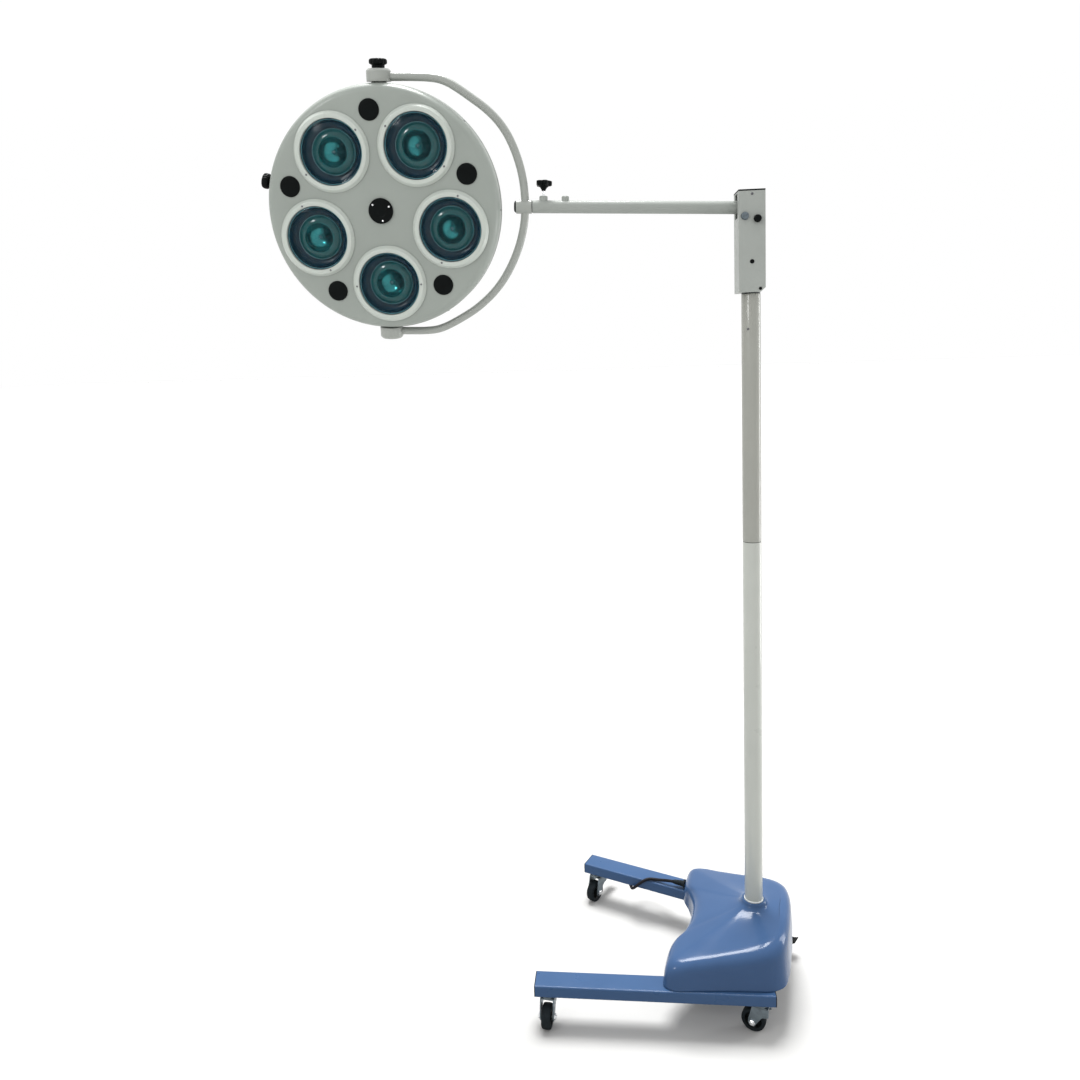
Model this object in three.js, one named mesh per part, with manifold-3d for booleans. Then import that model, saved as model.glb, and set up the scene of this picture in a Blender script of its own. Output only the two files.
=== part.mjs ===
// Mobile five-reflector surgical light, in millimetres, +Z up.
// The column axis is x = y = 0 while the parts are made. The front, with the open leg ends, faces -X.
import * as THREE from 'three';
import { mergeVertices } from 'three/addons/utils/BufferGeometryUtils.js';
import Module from 'manifold-3d';

const wasm = await Module();
wasm.setup();

// ---------------------------------------------------------------- driving dimensions
const GAP = 0.3;
const DEG = Math.PI / 180;

// castors
const WHEEL_R = 25;
const WHEEL_HALF_WIDTH = 10;
const WHEEL_SIDES = 24;
const CASTOR_HEIGHT = 72;
const CASTOR_TRAIL = 16;
const AXLE_R = 4;
const CASTOR_INSET = 25;
const PEDAL_HINGE = new THREE.Vector3(-12.5, 0, 50);
const PEDAL_PIN_R = 2.5;

// legs: rectangular tube, splayed about the base axis
const LEG_WIDTH = 50;
const LEG_HEIGHT = 25;
const LEG_WALL = 2;
const LEG_FRONT = new THREE.Vector2(-430, 232);
const LEG_REAR = new THREE.Vector2(49, 133.5);
const LEG_TOP = CASTOR_HEIGHT + LEG_HEIGHT;
const PLUG_PLATE = 1.5;
const PLUG_DEPTH = 12;

// column
const COLUMN_R = 19;
const COLUMN_BORE = 17;
const COLUMN_BOTTOM = 96;
const COLUMN_JOINT = 997;
const COLUMN_TOP = 1503;
const SPIGOT_R = 16.7;
const SPIGOT_BORE = 14.5;
const SPIGOT_REACH = 95;
const SLEEVE_R = 22;
const SLEEVE_TOP = 172;

// base cover
const COVER_BOTTOM = LEG_TOP + GAP;
const COVER_WALL = 3;
const COVER_RING_TOP = 205;
const COVER_RING_R = 26;
const COVER_BORE = 19.6;
const COVER_STEPS = 48;

// column head box: x runs along the arm, towards the rear
const SWIVEL_ANGLE = 14.04 * DEG;
const BOX_FRONT = -28;
const BOX_REAR = 24;
const BOX_HALF = 28;
const BOX_WALL = 2.5;
const BOX_BOTTOM = 1505;
const BOX_FLOOR = 4;
const BOX_TOP = 1700;
const SPINDLE_R = 16.6;
const SPINDLE_BOTTOM = 1385;
const SLOT_BOTTOM = 1650;
const SLOT_TOP = 1698;
const SLOT_HALF = 14;
const PIVOT = new THREE.Vector3(-16, 0, 1652);
const PIVOT_R = 4;
const BRAKE_KNOB = new THREE.Vector3(7.6, 0, 1645.5);
const SPRING_AXIS_X = 8;

// arm: x and z are measured from its pivot bolt
const ARM_LIFT = 2.84 * DEG;
const ARM_R = 12.6;
const ARM_BORE = 10.5;
const ARM_RISE = 20;
const ARM_REAR = -11;
const ARM_SEAM = -418;
const CLAMP_BOSS_X = -396.4;
const PLAIN_BOSS_X = -352.5;
const BOSS_TOP = ARM_RISE + ARM_R + 8;
const YOKE_REACH = 718;

// yoke: x towards the arm, z along the pivot pins; the head's centre lies HEAD_DROP below the arm's axis
const YOKE_ROLL = 12.94 * DEG;
const HEAD_DROP = 6.6;
const YOKE_TUBE_R = 8;
const YOKE_BOSS_R = 24;
const YOKE_BOSS_IN = 240;
const YOKE_BOSS_OUT = 264;
const PIN_R = 7;
const HUB_R = 13.8;
const HUB_FRONT = 267;
const HUB_REAR = 298.6;
const SHAFT_R = 10;
const SHAFT_END = 362;

// lamp head: z is the light's direction, x to the arm, y up along the pivot pins
const HEAD_TURN = -2.56 * DEG;
const PATTERN_TURN = 4.1 * DEG;
const HEAD_R = 238;
const FACE_Z = 36;
const SHELL_WALL = 2;
const SHELL_SIDES = 52;
const LENS_CIRCLE_R = 144.8;
const BEZEL_R = 77;
const BEZEL_BORE = 63.2;
const BEZEL_SPIGOT_R = 64.8;
const LENS_HOLE_R = 65.3;
const LENS_R = 62.9;
const LENS_FRONT = 41;
const LENS_THICKNESS = 4;
const VENT_CIRCLE_R = 189.4;
const VENT_R = 20.5;
const VENT_HOLE_R = 18;
const PLATE_R = 24.9;
const PLATE_HOLE_R = 20;
const TRAY_Z = 20;
const RIM_KNOB_ANGLE = 167.3 * DEG;
const RIM_KNOB_Z = 8;
const LAMPS = 5;

// mains cord
const CORD_R = 3.5;
const COIL_CENTRE = new THREE.Vector2(-62, 300);
const COIL_INNER = 28;
const COIL_OUTER = 56;
const COIL_HEIGHT = 14;
const GLAND = new THREE.Vector3(-173.8, 166, 108.5);
const GLAND_ANGLE = 84 * DEG;

// ---------------------------------------------------------------- materials
const finishes = {
  white: { color: 0xc2c7c0, roughness: 0.35, metalness: 0.1 },
  bezel: { color: 0xd3d8d0, roughness: 0.3, metalness: 0.0 },
  blue: { color: 0x4d74b4, roughness: 0.2, metalness: 0.0 },
  black: { color: 0x141414, roughness: 0.45, metalness: 0.0 },
  rubber: { color: 0x1a1c1d, roughness: 0.8, metalness: 0.0 },
  zinc: { color: 0x9aa3a3, roughness: 0.35, metalness: 0.8 },
  steel: { color: 0x8a8d8f, roughness: 0.4, metalness: 0.9 },
  iron: { color: 0x3c3f42, roughness: 0.8, metalness: 0.4 },
  glass: { color: 0x2e6b70, roughness: 0.05, metalness: 0.0, transparent: true, opacity: 0.5 },
  mirror: { color: 0xb8c4c6, roughness: 0.1, metalness: 1.0 },
};

// ---------------------------------------------------------------- geometry helpers

// Leaves only merged positions, drops collapsed triangles and turns every face outwards.
function clean(geometry) {
  const bare = geometry.clone();
  bare.deleteAttribute('normal');
  bare.deleteAttribute('uv');
  const merged = mergeVertices(bare, 1e-4);
  const index = merged.index.array;
  const position = merged.attributes.position;
  const kept = [];
  const a = new THREE.Vector3();
  const b = new THREE.Vector3();
  const c = new THREE.Vector3();
  let volume = 0;
  for (let i = 0; i < index.length; i += 3) {
    const [p, q, r] = [index[i], index[i + 1], index[i + 2]];
    if (p === q || q === r || r === p) continue;
    kept.push(p, q, r);
    a.fromBufferAttribute(position, p);
    b.fromBufferAttribute(position, q);
    c.fromBufferAttribute(position, r);
    volume += a.dot(b.cross(c));
  }
  if (volume < 0) kept.reverse();
  merged.setIndex(kept);
  return merged;
}

function toSolid(geometry) {
  const closed = clean(geometry);
  return new wasm.Manifold(new wasm.Mesh({
    numProp: 3,
    vertProperties: new Float32Array(closed.attributes.position.array),
    triVerts: new Uint32Array(closed.index.array),
  }));
}

function toGeometry(solid) {
  const mesh = solid.getMesh();
  const geometry = new THREE.BufferGeometry();
  geometry.setAttribute('position', new THREE.BufferAttribute(new Float32Array(mesh.vertProperties), 3));
  geometry.setIndex(Array.from(mesh.triVerts));
  return geometry;
}

function join(first, ...others) {
  return toGeometry(others.reduce((solid, other) => solid.add(toSolid(other)), toSolid(first)));
}

function cut(first, ...tools) {
  return toGeometry(tools.reduce((solid, tool) => solid.subtract(toSolid(tool)), toSolid(first)));
}

function block(x0, x1, y0, y1, z0, z1) {
  const geometry = new THREE.BoxGeometry(x1 - x0, y1 - y0, z1 - z0);
  return geometry.translate((x0 + x1) / 2, (y0 + y1) / 2, (z0 + z1) / 2);
}

// A rod along Z from z0 to z1.
function rod(radius, z0, z1, sides = 24) {
  const geometry = new THREE.CylinderGeometry(radius, radius, z1 - z0, sides);
  return geometry.rotateX(Math.PI / 2).translate(0, 0, (z0 + z1) / 2);
}

// Turns a profile of [radius, height] pairs about Z.
function turned(profile, sides = 32) {
  const points = profile.map(([radius, height]) => new THREE.Vector2(radius, height));
  return new THREE.LatheGeometry(points, sides).rotateX(Math.PI / 2);
}

// A ring turned from a profile that closes on itself.
function ring(profile, sides = 32) {
  return turned([...profile, profile[0]], sides);
}

function tube(outer, inner, z0, z1, sides = 32) {
  return ring([[outer, z0], [outer, z1], [inner, z1], [inner, z0]], sides);
}

// Extrudes an outline of [x, z] points across Y, from -half to +half.
function slab(outline, half) {
  const shape = new THREE.Shape(outline.map(([x, z]) => new THREE.Vector2(x, z)));
  const geometry = new THREE.ExtrudeGeometry(shape, { depth: 2 * half, bevelEnabled: false });
  return geometry.rotateX(Math.PI / 2).translate(0, half, 0);
}

function alongX(geometry) {
  return geometry.rotateY(Math.PI / 2);
}

function alongY(geometry) {
  return geometry.rotateX(-Math.PI / 2);
}

function part(name, finish, geometry) {
  const mesh = new THREE.Mesh(clean(geometry), new THREE.MeshStandardMaterial(finishes[finish]));
  mesh.name = name;
  return mesh;
}

function assembly(...children) {
  const group = new THREE.Group();
  group.add(...children);
  return group;
}

// ---------------------------------------------------------------- legs
const legLine = LEG_REAR.clone().sub(LEG_FRONT);
const legLength = legLine.length();
const legSplay = Math.atan2(legLine.y, legLine.x);

function legFrame(side) {
  const frame = new THREE.Group();
  frame.position.set(LEG_FRONT.x, side * LEG_FRONT.y, CASTOR_HEIGHT);
  frame.rotation.z = side * legSplay;
  return frame;
}

function legTube() {
  const outer = block(0, legLength, -LEG_WIDTH / 2, LEG_WIDTH / 2, 0, LEG_HEIGHT);
  const inner = block(-1, legLength + 1, -LEG_WIDTH / 2 + LEG_WALL, LEG_WIDTH / 2 - LEG_WALL,
    LEG_WALL, LEG_HEIGHT - LEG_WALL);
  return cut(outer, inner);
}

// A pressed-in plug for the leg's end at x = 0, its plate outside.
function legPlug() {
  const insetSide = LEG_WALL + GAP;
  const plate = block(-GAP - PLUG_PLATE, -GAP, -LEG_WIDTH / 2, LEG_WIDTH / 2, 0, LEG_HEIGHT);
  const core = block(-GAP - 0.5, PLUG_DEPTH, -LEG_WIDTH / 2 + insetSide, LEG_WIDTH / 2 - insetSide,
    insetSide, LEG_HEIGHT - insetSide);
  return join(plate, core);
}

function leg(name, side) {
  const frame = legFrame(side);
  const frontPlug = part(`${name}_front_plug`, 'black', legPlug());
  const rearPlug = part(`${name}_rear_plug`, 'black', legPlug());
  rearPlug.rotation.z = Math.PI;
  rearPlug.position.x = legLength;
  frame.add(part(name, 'blue', legTube()), frontPlug, rearPlug);
  return frame;
}

// ---------------------------------------------------------------- castors

// The fork swivels about Z through its origin; the wheel trails towards +X.
function castorFork(braked) {
  const race = rod(17, 62, CASTOR_HEIGHT - GAP, 24);
  const crown = block(-17, 16, -15, 15, 59, 63);
  const outline = [[-17, 61], [16, 61], [25, 31], [22, 17], [11, 17], [-3, 40], [-17, 43]];
  const cheeks = slab(outline, 15);
  const wheelSpace = block(-60, 60, -12.2, 12.2, 0, 59.5);
  const axle = alongY(rod(AXLE_R, -15, 15, 16)).translate(CASTOR_TRAIL, 0, WHEEL_R);
  const body = cut(join(race, crown, cheeks), wheelSpace);
  if (!braked) return join(body, axle);
  const pinHole = alongY(rod(PEDAL_PIN_R + GAP, -20, 20, 12)).translate(PEDAL_HINGE.x, 0, PEDAL_HINGE.z);
  return join(cut(body, pinHole), axle);
}

// One flat of the many-sided tread lies on the floor.
function castorWheel() {
  const flat = 1 / Math.cos(Math.PI / WHEEL_SIDES);
  const h = WHEEL_HALF_WIDTH;
  const bore = AXLE_R + GAP;
  const profile = [[bore, -h], [22, -h], [WHEEL_R, -7], [WHEEL_R, 7], [22, h], [bore, h]];
  const wheel = ring(profile.map(([radius, y]) => [radius * flat, y]), WHEEL_SIDES);
  wheel.rotateZ(Math.PI / WHEEL_SIDES + Math.PI / 2);
  return alongY(wheel);
}

// A wavy foot pedal with its own hinge pin, made about the hinge.
function brakePedal() {
  const outline = [[4, 3.5], [-7.5, 3.5], [-19, -6], [-33, -12], [-45, -12], [-53, -8], [-54, -12],
    [-45, -17], [-32, -17], [-17, -11], [-6, -4], [4, -4]];
  return join(slab(outline, 11), alongY(rod(PEDAL_PIN_R, -14.6, 14.6, 12)));
}

function castor(name, legSide, fromFront, trailAngle, braked) {
  const frame = new THREE.Group();
  const along = fromFront ? CASTOR_INSET : legLength - CASTOR_INSET;
  const stem = LEG_FRONT.clone().add(legLine.clone().setLength(along));
  frame.position.set(stem.x, legSide * stem.y, 0);
  frame.rotation.z = trailAngle;
  const wheel = part(`${name}_castor_wheel`, 'rubber', castorWheel());
  wheel.position.set(CASTOR_TRAIL, 0, WHEEL_R);
  frame.add(part(`${name}_castor_fork`, 'zinc', castorFork(braked)), wheel);
  if (braked) {
    const pedal = part(`${name}_castor_pedal`, 'black', brakePedal());
    pedal.position.copy(PEDAL_HINGE);
    frame.add(pedal);
  }
  return frame;
}

// ---------------------------------------------------------------- base: foot frame, weights, cover

function footFrame() {
  const innerFace = (x) => {
    const t = (x - LEG_FRONT.x) / legLine.x;
    return LEG_FRONT.y + t * legLine.y - LEG_WIDTH / 2 / Math.cos(legSplay) - GAP;
  };
  const plate = new THREE.Shape();
  plate.moveTo(-60, -innerFace(-60));
  plate.lineTo(45, -innerFace(45));
  plate.lineTo(45, innerFace(45));
  plate.lineTo(-60, innerFace(-60));
  const slabPlate = new THREE.ExtrudeGeometry(plate, { depth: 15, bevelEnabled: false });
  slabPlate.translate(0, 0, COLUMN_BOTTOM - 15 - GAP);
  const sleeve = tube(SLEEVE_R, COLUMN_R + GAP, COLUMN_BOTTOM - 1, SLEEVE_TOP);
  return join(slabPlate, sleeve);
}

// Outline of the cover from the front centre round to the rear centre, y >= 0:
// foot x, foot y, edge x, edge y, edge z.
const COVER_OUTLINE = [
  [-139, 0, -136, 0, 155],
  [-142, 45, -139, 45, 154],
  [-154, 82, -150, 80, 150],
  [-169, 112, -164, 108, 147],
  [-172, 150, -167, 148, 146],
  [-168, 188, -162, 181, 146],
  [-148, 196, -144, 188, 147],
  [-98, 184, -97, 177, 153],
  [-45, 170, -44, 163, 162],
  [10, 157, 8, 149, 172],
  [47, 147, 38, 134, 178],
  [70, 127, 60, 113, 182],
  [78, 92, 71, 82, 186],
  [80, 45, 76, 42, 190],
  [81, 0, 77, 0, 191],
];
const COVER_FILLET = 26;

function closedCurve(pick) {
  const half = COVER_OUTLINE.map(pick);
  const mirrored = half.slice(1, -1).reverse().map((p) => new THREE.Vector3(p.x, -p.y, p.z));
  return new THREE.CatmullRomCurve3([...half, ...mirrored], true, 'centripetal');
}

const coverFoot = closedCurve(([x, y]) => new THREE.Vector3(x, y, COVER_BOTTOM));
const coverEdge = closedCurve(([, , x, y, z]) => new THREE.Vector3(x, y, z));

// One section of the cover, from the foot over the edge to the column ring and back inside.
function coverSection(t) {
  const foot = coverFoot.getPoint(t);
  const edge = coverEdge.getPoint(t);
  const inward = new THREE.Vector3(-edge.x, -edge.y, 0);
  const reach = inward.length() - COVER_RING_R;
  inward.normalize();
  const onTop = (share, drop) => {
    const p = edge.clone().addScaledVector(inward, share * reach);
    const rise = COVER_RING_TOP - 12 - edge.z;
    p.z = edge.z + rise * share - drop;
    return p;
  };
  const onRing = (radius, z) => inward.clone().multiplyScalar(-radius).setZ(z);
  const wall = (share, shift) => {
    const p = foot.clone().lerp(edge, share);
    return p.addScaledVector(inward, shift);
  };
  const below = foot.clone().sub(edge).setLength(COVER_FILLET);
  const above = onTop(1, 0).sub(edge).setLength(COVER_FILLET);
  const fillet = (t, drop) => edge.clone().addScaledVector(below, (1 - t) ** 2)
    .addScaledVector(above, t ** 2).setZ(edge.z + below.z * (1 - t) ** 2 + above.z * t ** 2 - drop);
  return [
    wall(0, 0),
    wall(0.3, 0),
    fillet(0, 0),
    fillet(0.33, 0),
    fillet(0.67, 0),
    fillet(1, 0),
    onTop(0.6, 2),
    onTop(0.88, 1),
    onRing(COVER_RING_R, COVER_RING_TOP - 5),
    onRing(COVER_RING_R - 2, COVER_RING_TOP),
    onRing(COVER_BORE, COVER_RING_TOP),
    onRing(COVER_BORE, COVER_RING_TOP - 12),
    onTop(0.86, 1 + COVER_WALL),
    onTop(0.5, 2 + COVER_WALL),
    fillet(1, COVER_WALL),
    fillet(0.5, 2 * COVER_WALL),
    wall(0.25, COVER_WALL + 1),
    wall(0, COVER_WALL),
  ];
}

// Joins a ring of equal closed sections into one closed skin.
function skin(sections) {
  const count = sections.length;
  const size = sections[0].length;
  const positions = sections.flat().flatMap((p) => [p.x, p.y, p.z]);
  const index = [];
  for (let i = 0; i < count; i += 1) {
    for (let j = 0; j < size; j += 1) {
      const a = i * size + j;
      const b = ((i + 1) % count) * size + j;
      const c = ((i + 1) % count) * size + ((j + 1) % size);
      const d = i * size + ((j + 1) % size);
      index.push(a, b, c, a, c, d);
    }
  }
  const geometry = new THREE.BufferGeometry();
  geometry.setAttribute('position', new THREE.Float32BufferAttribute(positions, 3));
  geometry.setIndex(index);
  return geometry;
}

function baseCover() {
  const sections = [];
  for (let i = 0; i < COVER_STEPS; i += 1) {
    sections.push(coverSection(i / COVER_STEPS));
  }
  return skin(sections);
}

function base() {
  const counterweight = block(-118, -30, -70, 70, LEG_TOP + 1, LEG_TOP + 26);
  const transformer = block(-24, 34, 45, 100, LEG_TOP + 1, LEG_TOP + 48);
  const gland = part('cord_gland', 'black', alongY(turned(
    [[0, 0], [10, 0], [10, 4], [7, 5], [4.8, 28.5], [0, 28.5]], 16)));
  gland.position.copy(GLAND);
  gland.rotation.z = GLAND_ANGLE;
  return assembly(
    leg('left_leg', -1),
    leg('right_leg', 1),
    part('foot_frame', 'steel', footFrame()),
    part('counterweight', 'iron', counterweight),
    part('transformer', 'iron', transformer),
    part('base_cover', 'blue', baseCover()),
    gland,
    castor('front_left', -1, true, -84 * DEG, false),
    castor('rear_left', -1, false, 170 * DEG, false),
    castor('front_right', 1, true, -112 * DEG, true),
    castor('rear_right', 1, false, 162 * DEG, true),
  );
}

// ---------------------------------------------------------------- mains cord, coil and plug

// From the gland along the right leg, slantwise over it, back below it and down to the coil.
const CORD_ROUTE = [
  [-203.2, 169.1, 108.5],
  [-215.5, 171, 107.3],
  [-228, 173.6, 104.8],
  [-240, 176, 102.6],
  [-252, 176.8, 101.9],
  [-263.3, 174.6, 102],
  [-273.6, 170, 99.6],
  [-284.4, 165.6, 93],
  [-294.8, 165.6, 83],
  [-303.8, 171.9, 73.2],
  [-310.4, 184.8, 66.8],
  [-314.4, 200.6, 64.9],
  [-315, 216.6, 65.4],
  [-312.5, 228.7, 66.4],
  [-305.9, 238.5, 67],
  [-295.6, 245.3, 67.4],
  [-284, 247.6, 67.6],
  [-271.4, 245.3, 67.7],
  [-256.4, 238.6, 67.7],
  [-241, 229.8, 67.6],
  [-225.4, 219.8, 67.6],
  [-209.6, 209.9, 67.6],
  [-192.9, 201.2, 67.6],
  [-175.6, 195.4, 66.8],
  [-158.6, 193.4, 63.3],
  [-143.4, 195.4, 55.8],
  [-131.4, 200.9, 44.7],
  [-123, 209.7, 31.5],
  [-117.9, 221.4, 18.6],
  [-115.4, 236, 8.7],
  [-114.6, 252.9, 4.2],
  [-114.5, 267, 3.8],
];

function mainsCord() {
  const route = new THREE.CatmullRomCurve3(CORD_ROUTE.map(([x, y, z]) => new THREE.Vector3(x, y, z)),
    false, 'centripetal');
  const section = new THREE.Shape();
  section.absarc(0, 0, CORD_R, 0, 2 * Math.PI);
  return new THREE.ExtrudeGeometry(section,
    { extrudePath: route, steps: 60, curveSegments: 4, bevelEnabled: false });
}

function mainsPlug() {
  const relief = turned([[0, 0], [4.5, 0], [6.5, 22], [0, 22]], 12);
  const body = turned([[0, 21], [9, 21], [13, 28], [13.2, 50], [11, 54], [0, 54]], 20);
  const pinA = rod(2.4, 53, 72, 10).translate(0, 9.5, 0);
  const pinB = rod(2.4, 53, 72, 10).translate(0, -9.5, 0);
  return alongX(join(relief, body, pinA, pinB));
}

function cord() {
  const coil = part('cord_coil', 'black', tube(COIL_OUTER, COIL_INNER, 0, COIL_HEIGHT, 40));
  coil.position.set(COIL_CENTRE.x, COIL_CENTRE.y, 0);
  const plug = part('mains_plug', 'black', mainsPlug());
  plug.position.set(COIL_CENTRE.x + 31, COIL_CENTRE.y + 52.5, 13.4);
  return assembly(part('mains_cord', 'black', mainsCord()), coil, plug);
}

// ---------------------------------------------------------------- column

function lowerColumn() {
  return ring([[COLUMN_R, COLUMN_BOTTOM], [COLUMN_R, COLUMN_JOINT], [SPIGOT_R, COLUMN_JOINT],
    [SPIGOT_R, COLUMN_JOINT + SPIGOT_REACH], [SPIGOT_BORE, COLUMN_JOINT + SPIGOT_REACH],
    [SPIGOT_BORE, COLUMN_JOINT - SPIGOT_REACH], [COLUMN_BORE, COLUMN_JOINT - SPIGOT_REACH - 15],
    [COLUMN_BORE, COLUMN_BOTTOM]]);
}

function upperColumn() {
  return tube(COLUMN_R, COLUMN_BORE, COLUMN_JOINT + GAP, COLUMN_TOP);
}

// ---------------------------------------------------------------- column head box

function headBox() {
  const outline = [[BOX_FRONT, BOX_BOTTOM], [BOX_REAR - 9.5, BOX_BOTTOM], [BOX_REAR, BOX_BOTTOM + 8.5],
    [BOX_REAR, BOX_TOP], [BOX_FRONT, BOX_TOP]];
  const shell = slab(outline, BOX_HALF);
  const room = block(BOX_FRONT + BOX_WALL, BOX_REAR - BOX_WALL, BOX_WALL - BOX_HALF, BOX_HALF - BOX_WALL,
    BOX_BOTTOM + 9, BOX_TOP + 10);
  const slot = block(BOX_FRONT - 1, BOX_FRONT + BOX_WALL + 1, -SLOT_HALF, SLOT_HALF, SLOT_BOTTOM, SLOT_TOP);
  const boltHole = alongY(rod(PIVOT_R + GAP, -BOX_HALF - 1, BOX_HALF + 1, 16)).translate(PIVOT.x, 0, PIVOT.z);
  const spindle = rod(SPINDLE_R, SPINDLE_BOTTOM, BOX_BOTTOM + BOX_FLOOR, 32);
  return join(cut(shell, room, slot, boltHole), spindle);
}

function boxCap() {
  const plate = block(BOX_FRONT, BOX_REAR, -BOX_HALF, BOX_HALF, BOX_TOP + GAP, BOX_TOP + 3);
  const inset = BOX_WALL + GAP;
  const lip = block(BOX_FRONT + 14, BOX_REAR - inset, inset - BOX_HALF, BOX_HALF - inset,
    BOX_TOP - 1.6, BOX_TOP + 1);
  return join(plate, lip);
}

function pivotBolt() {
  const near = -BOX_HALF - GAP;
  return alongY(turned([[0, near - 5], [7, near - 5], [7.8, near - 3.5], [7.8, near], [PIVOT_R, near],
    [PIVOT_R, BOX_HALF + GAP], [6.5, BOX_HALF + GAP], [6.5, BOX_HALF + 5], [0, BOX_HALF + 5]], 20));
}

function armBrakeKnob() {
  const near = -BOX_HALF - GAP;
  return alongY(turned([[0, near - 13], [6, near - 13], [7.8, near - 11], [7.8, near - 3],
    [5, near - 2], [5, near], [0, near]], 20));
}

function columnHead() {
  const bolt = part('arm_pivot_bolt', 'steel', pivotBolt());
  bolt.position.copy(PIVOT);
  const knob = part('arm_brake_knob', 'black', armBrakeKnob());
  knob.position.copy(BRAKE_KNOB);
  const spring = part('balance_spring', 'steel', tube(9, 6, 1530, 1622, 20));
  spring.position.x = SPRING_AXIS_X;
  const head = assembly(
    part('head_box', 'white', headBox()),
    part('box_cap', 'black', boxCap()),
    bolt,
    knob,
    spring,
    arm(),
  );
  head.rotation.z = SWIVEL_ANGLE;
  return head;
}

// ---------------------------------------------------------------- arm

function armTube() {
  const barrel = alongX(rod(ARM_R, ARM_SEAM, ARM_REAR, 28)).translate(0, 0, ARM_RISE);
  const bore = alongX(rod(ARM_BORE, ARM_SEAM - 1, ARM_REAR - 14, 28)).translate(0, 0, ARM_RISE);
  const clampBoss = rod(8.3, ARM_RISE, BOSS_TOP, 16).translate(CLAMP_BOSS_X, 0, 0);
  const plainBoss = rod(7.4, ARM_RISE, BOSS_TOP, 16).translate(PLAIN_BOSS_X, 0, 0);
  const bracket = slab([[-20, 14], [-7, 14], [-7, -9], [10, -9], [18, 0], [14, 31], [-20, 31]], 9);
  const screwHole = rod(2 + GAP, ARM_RISE, BOSS_TOP + 1, 12).translate(CLAMP_BOSS_X, 0, 0);
  const pivotHole = alongY(rod(PIVOT_R + GAP, -12, 12, 16));
  return cut(join(barrel, clampBoss, plainBoss, bracket), bore, screwHole, pivotHole);
}

function lockKnob() {
  const foot = BOSS_TOP + GAP;
  const screw = rod(2, ARM_RISE + 11.5, foot + 13, 12);
  const outline = new THREE.Shape();
  const lobes = 5;
  const points = 40;
  for (let i = 0; i < points; i += 1) {
    const angle = (2 * Math.PI * i) / points;
    const radius = 14.6 + 2 * Math.cos(lobes * angle);
    const step = i === 0 ? 'moveTo' : 'lineTo';
    outline[step](radius * Math.cos(angle), radius * Math.sin(angle));
  }
  const star = new THREE.ExtrudeGeometry(outline, { depth: 10, bevelEnabled: false });
  star.translate(0, 0, foot + 20);
  const cone = turned([[0, foot + 10], [3.5, foot + 10], [13, foot + 21], [0, foot + 21]], 20);
  return join(screw, cone, star);
}

function arm() {
  const knob = part('arm_lock_knob', 'black', lockKnob());
  knob.position.x = CLAMP_BOSS_X;
  const group = assembly(part('arm_tube', 'white', armTube()), knob, yoke());
  group.position.copy(PIVOT);
  group.rotation.y = ARM_LIFT;
  return group;
}

// ---------------------------------------------------------------- yoke

// Centre line of the bow, from the upper boss round to the lower one: x and z from the head's centre.
const YOKE_BOW = [[12, 249], [60, 248.8], [95, 247.6], [117.6, 244.6], [136.8, 237.6], [155.8, 226.8],
  [176, 213.5], [206, 192.5], [229, 171.5], [247, 148.2], [259.1, 125.9], [268.4, 103.5], [275.6, 80.8],
  [280.6, 58.1], [283.6, 35.1], [285, 6.6], [283.2, -23.1], [279, -46.7], [272.6, -70.6], [263.6, -94.6],
  [252, -118.9], [237.2, -143.3], [217.4, -168.1], [193, -191.2], [176, -204.4], [152, -219.6], [127, -233.6],
  [112, -240.4], [97, -245.2], [74, -248], [45, -248.8], [12, -249]];

function yokePath() {
  return new THREE.CatmullRomCurve3(YOKE_BOW.map(([x, z]) => new THREE.Vector3(x, 0, z)), false, 'centripetal');
}

function yokeFrame() {
  const section = new THREE.Shape();
  section.absarc(0, 0, YOKE_TUBE_R, 0, 2 * Math.PI);
  const bow = new THREE.ExtrudeGeometry(section,
    { extrudePath: yokePath(), steps: 44, curveSegments: 7, bevelEnabled: false });
  const boss = () => turned([[0, YOKE_BOSS_IN], [YOKE_BOSS_R, YOKE_BOSS_IN], [YOKE_BOSS_R, YOKE_BOSS_OUT - 5],
    [YOKE_BOSS_R - 4, YOKE_BOSS_OUT], [0, YOKE_BOSS_OUT]], 28);
  const lowerBoss = boss().rotateX(Math.PI);
  const hub = alongX(rod(HUB_R, HUB_FRONT, HUB_REAR, 28)).translate(0, 0, HEAD_DROP);
  const shaft = alongX(rod(SHAFT_R, HUB_REAR - 2, SHAFT_END, 24)).translate(0, 0, HEAD_DROP);
  const pinHole = rod(PIN_R + GAP, -YOKE_BOSS_OUT - 2, YOKE_BOSS_OUT + 2, 20);
  return cut(join(bow, boss(), lowerBoss, hub, shaft), pinHole);
}

function topBrakeKnob() {
  const foot = YOKE_BOSS_OUT + GAP;
  return turned([[0, foot], [11, foot], [12.5, foot + 1], [12.5, foot + 5.5], [15.8, foot + 7],
    [17.6, foot + 9], [17.6, foot + 14], [15.5, foot + 17], [0, foot + 18]], 28);
}

function yoke() {
  const capFront = HUB_FRONT - GAP - 4;
  const cap = part('hub_end_cap', 'black',
    alongX(turned([[0, capFront], [9, capFront], [11.5, capFront + 2], [11.5, capFront + 4],
      [0, capFront + 4]], 24)));
  const carried = assembly(
    part('yoke_frame', 'white', yokeFrame()),
    part('top_brake_knob', 'black', topBrakeKnob()),
    lampHead(),
  );
  carried.position.z = -HEAD_DROP;
  const group = assembly(carried, cap);
  group.position.set(-YOKE_REACH, 0, ARM_RISE);
  group.rotation.x = YOKE_ROLL;
  return group;
}

// ---------------------------------------------------------------- lamp head

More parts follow.
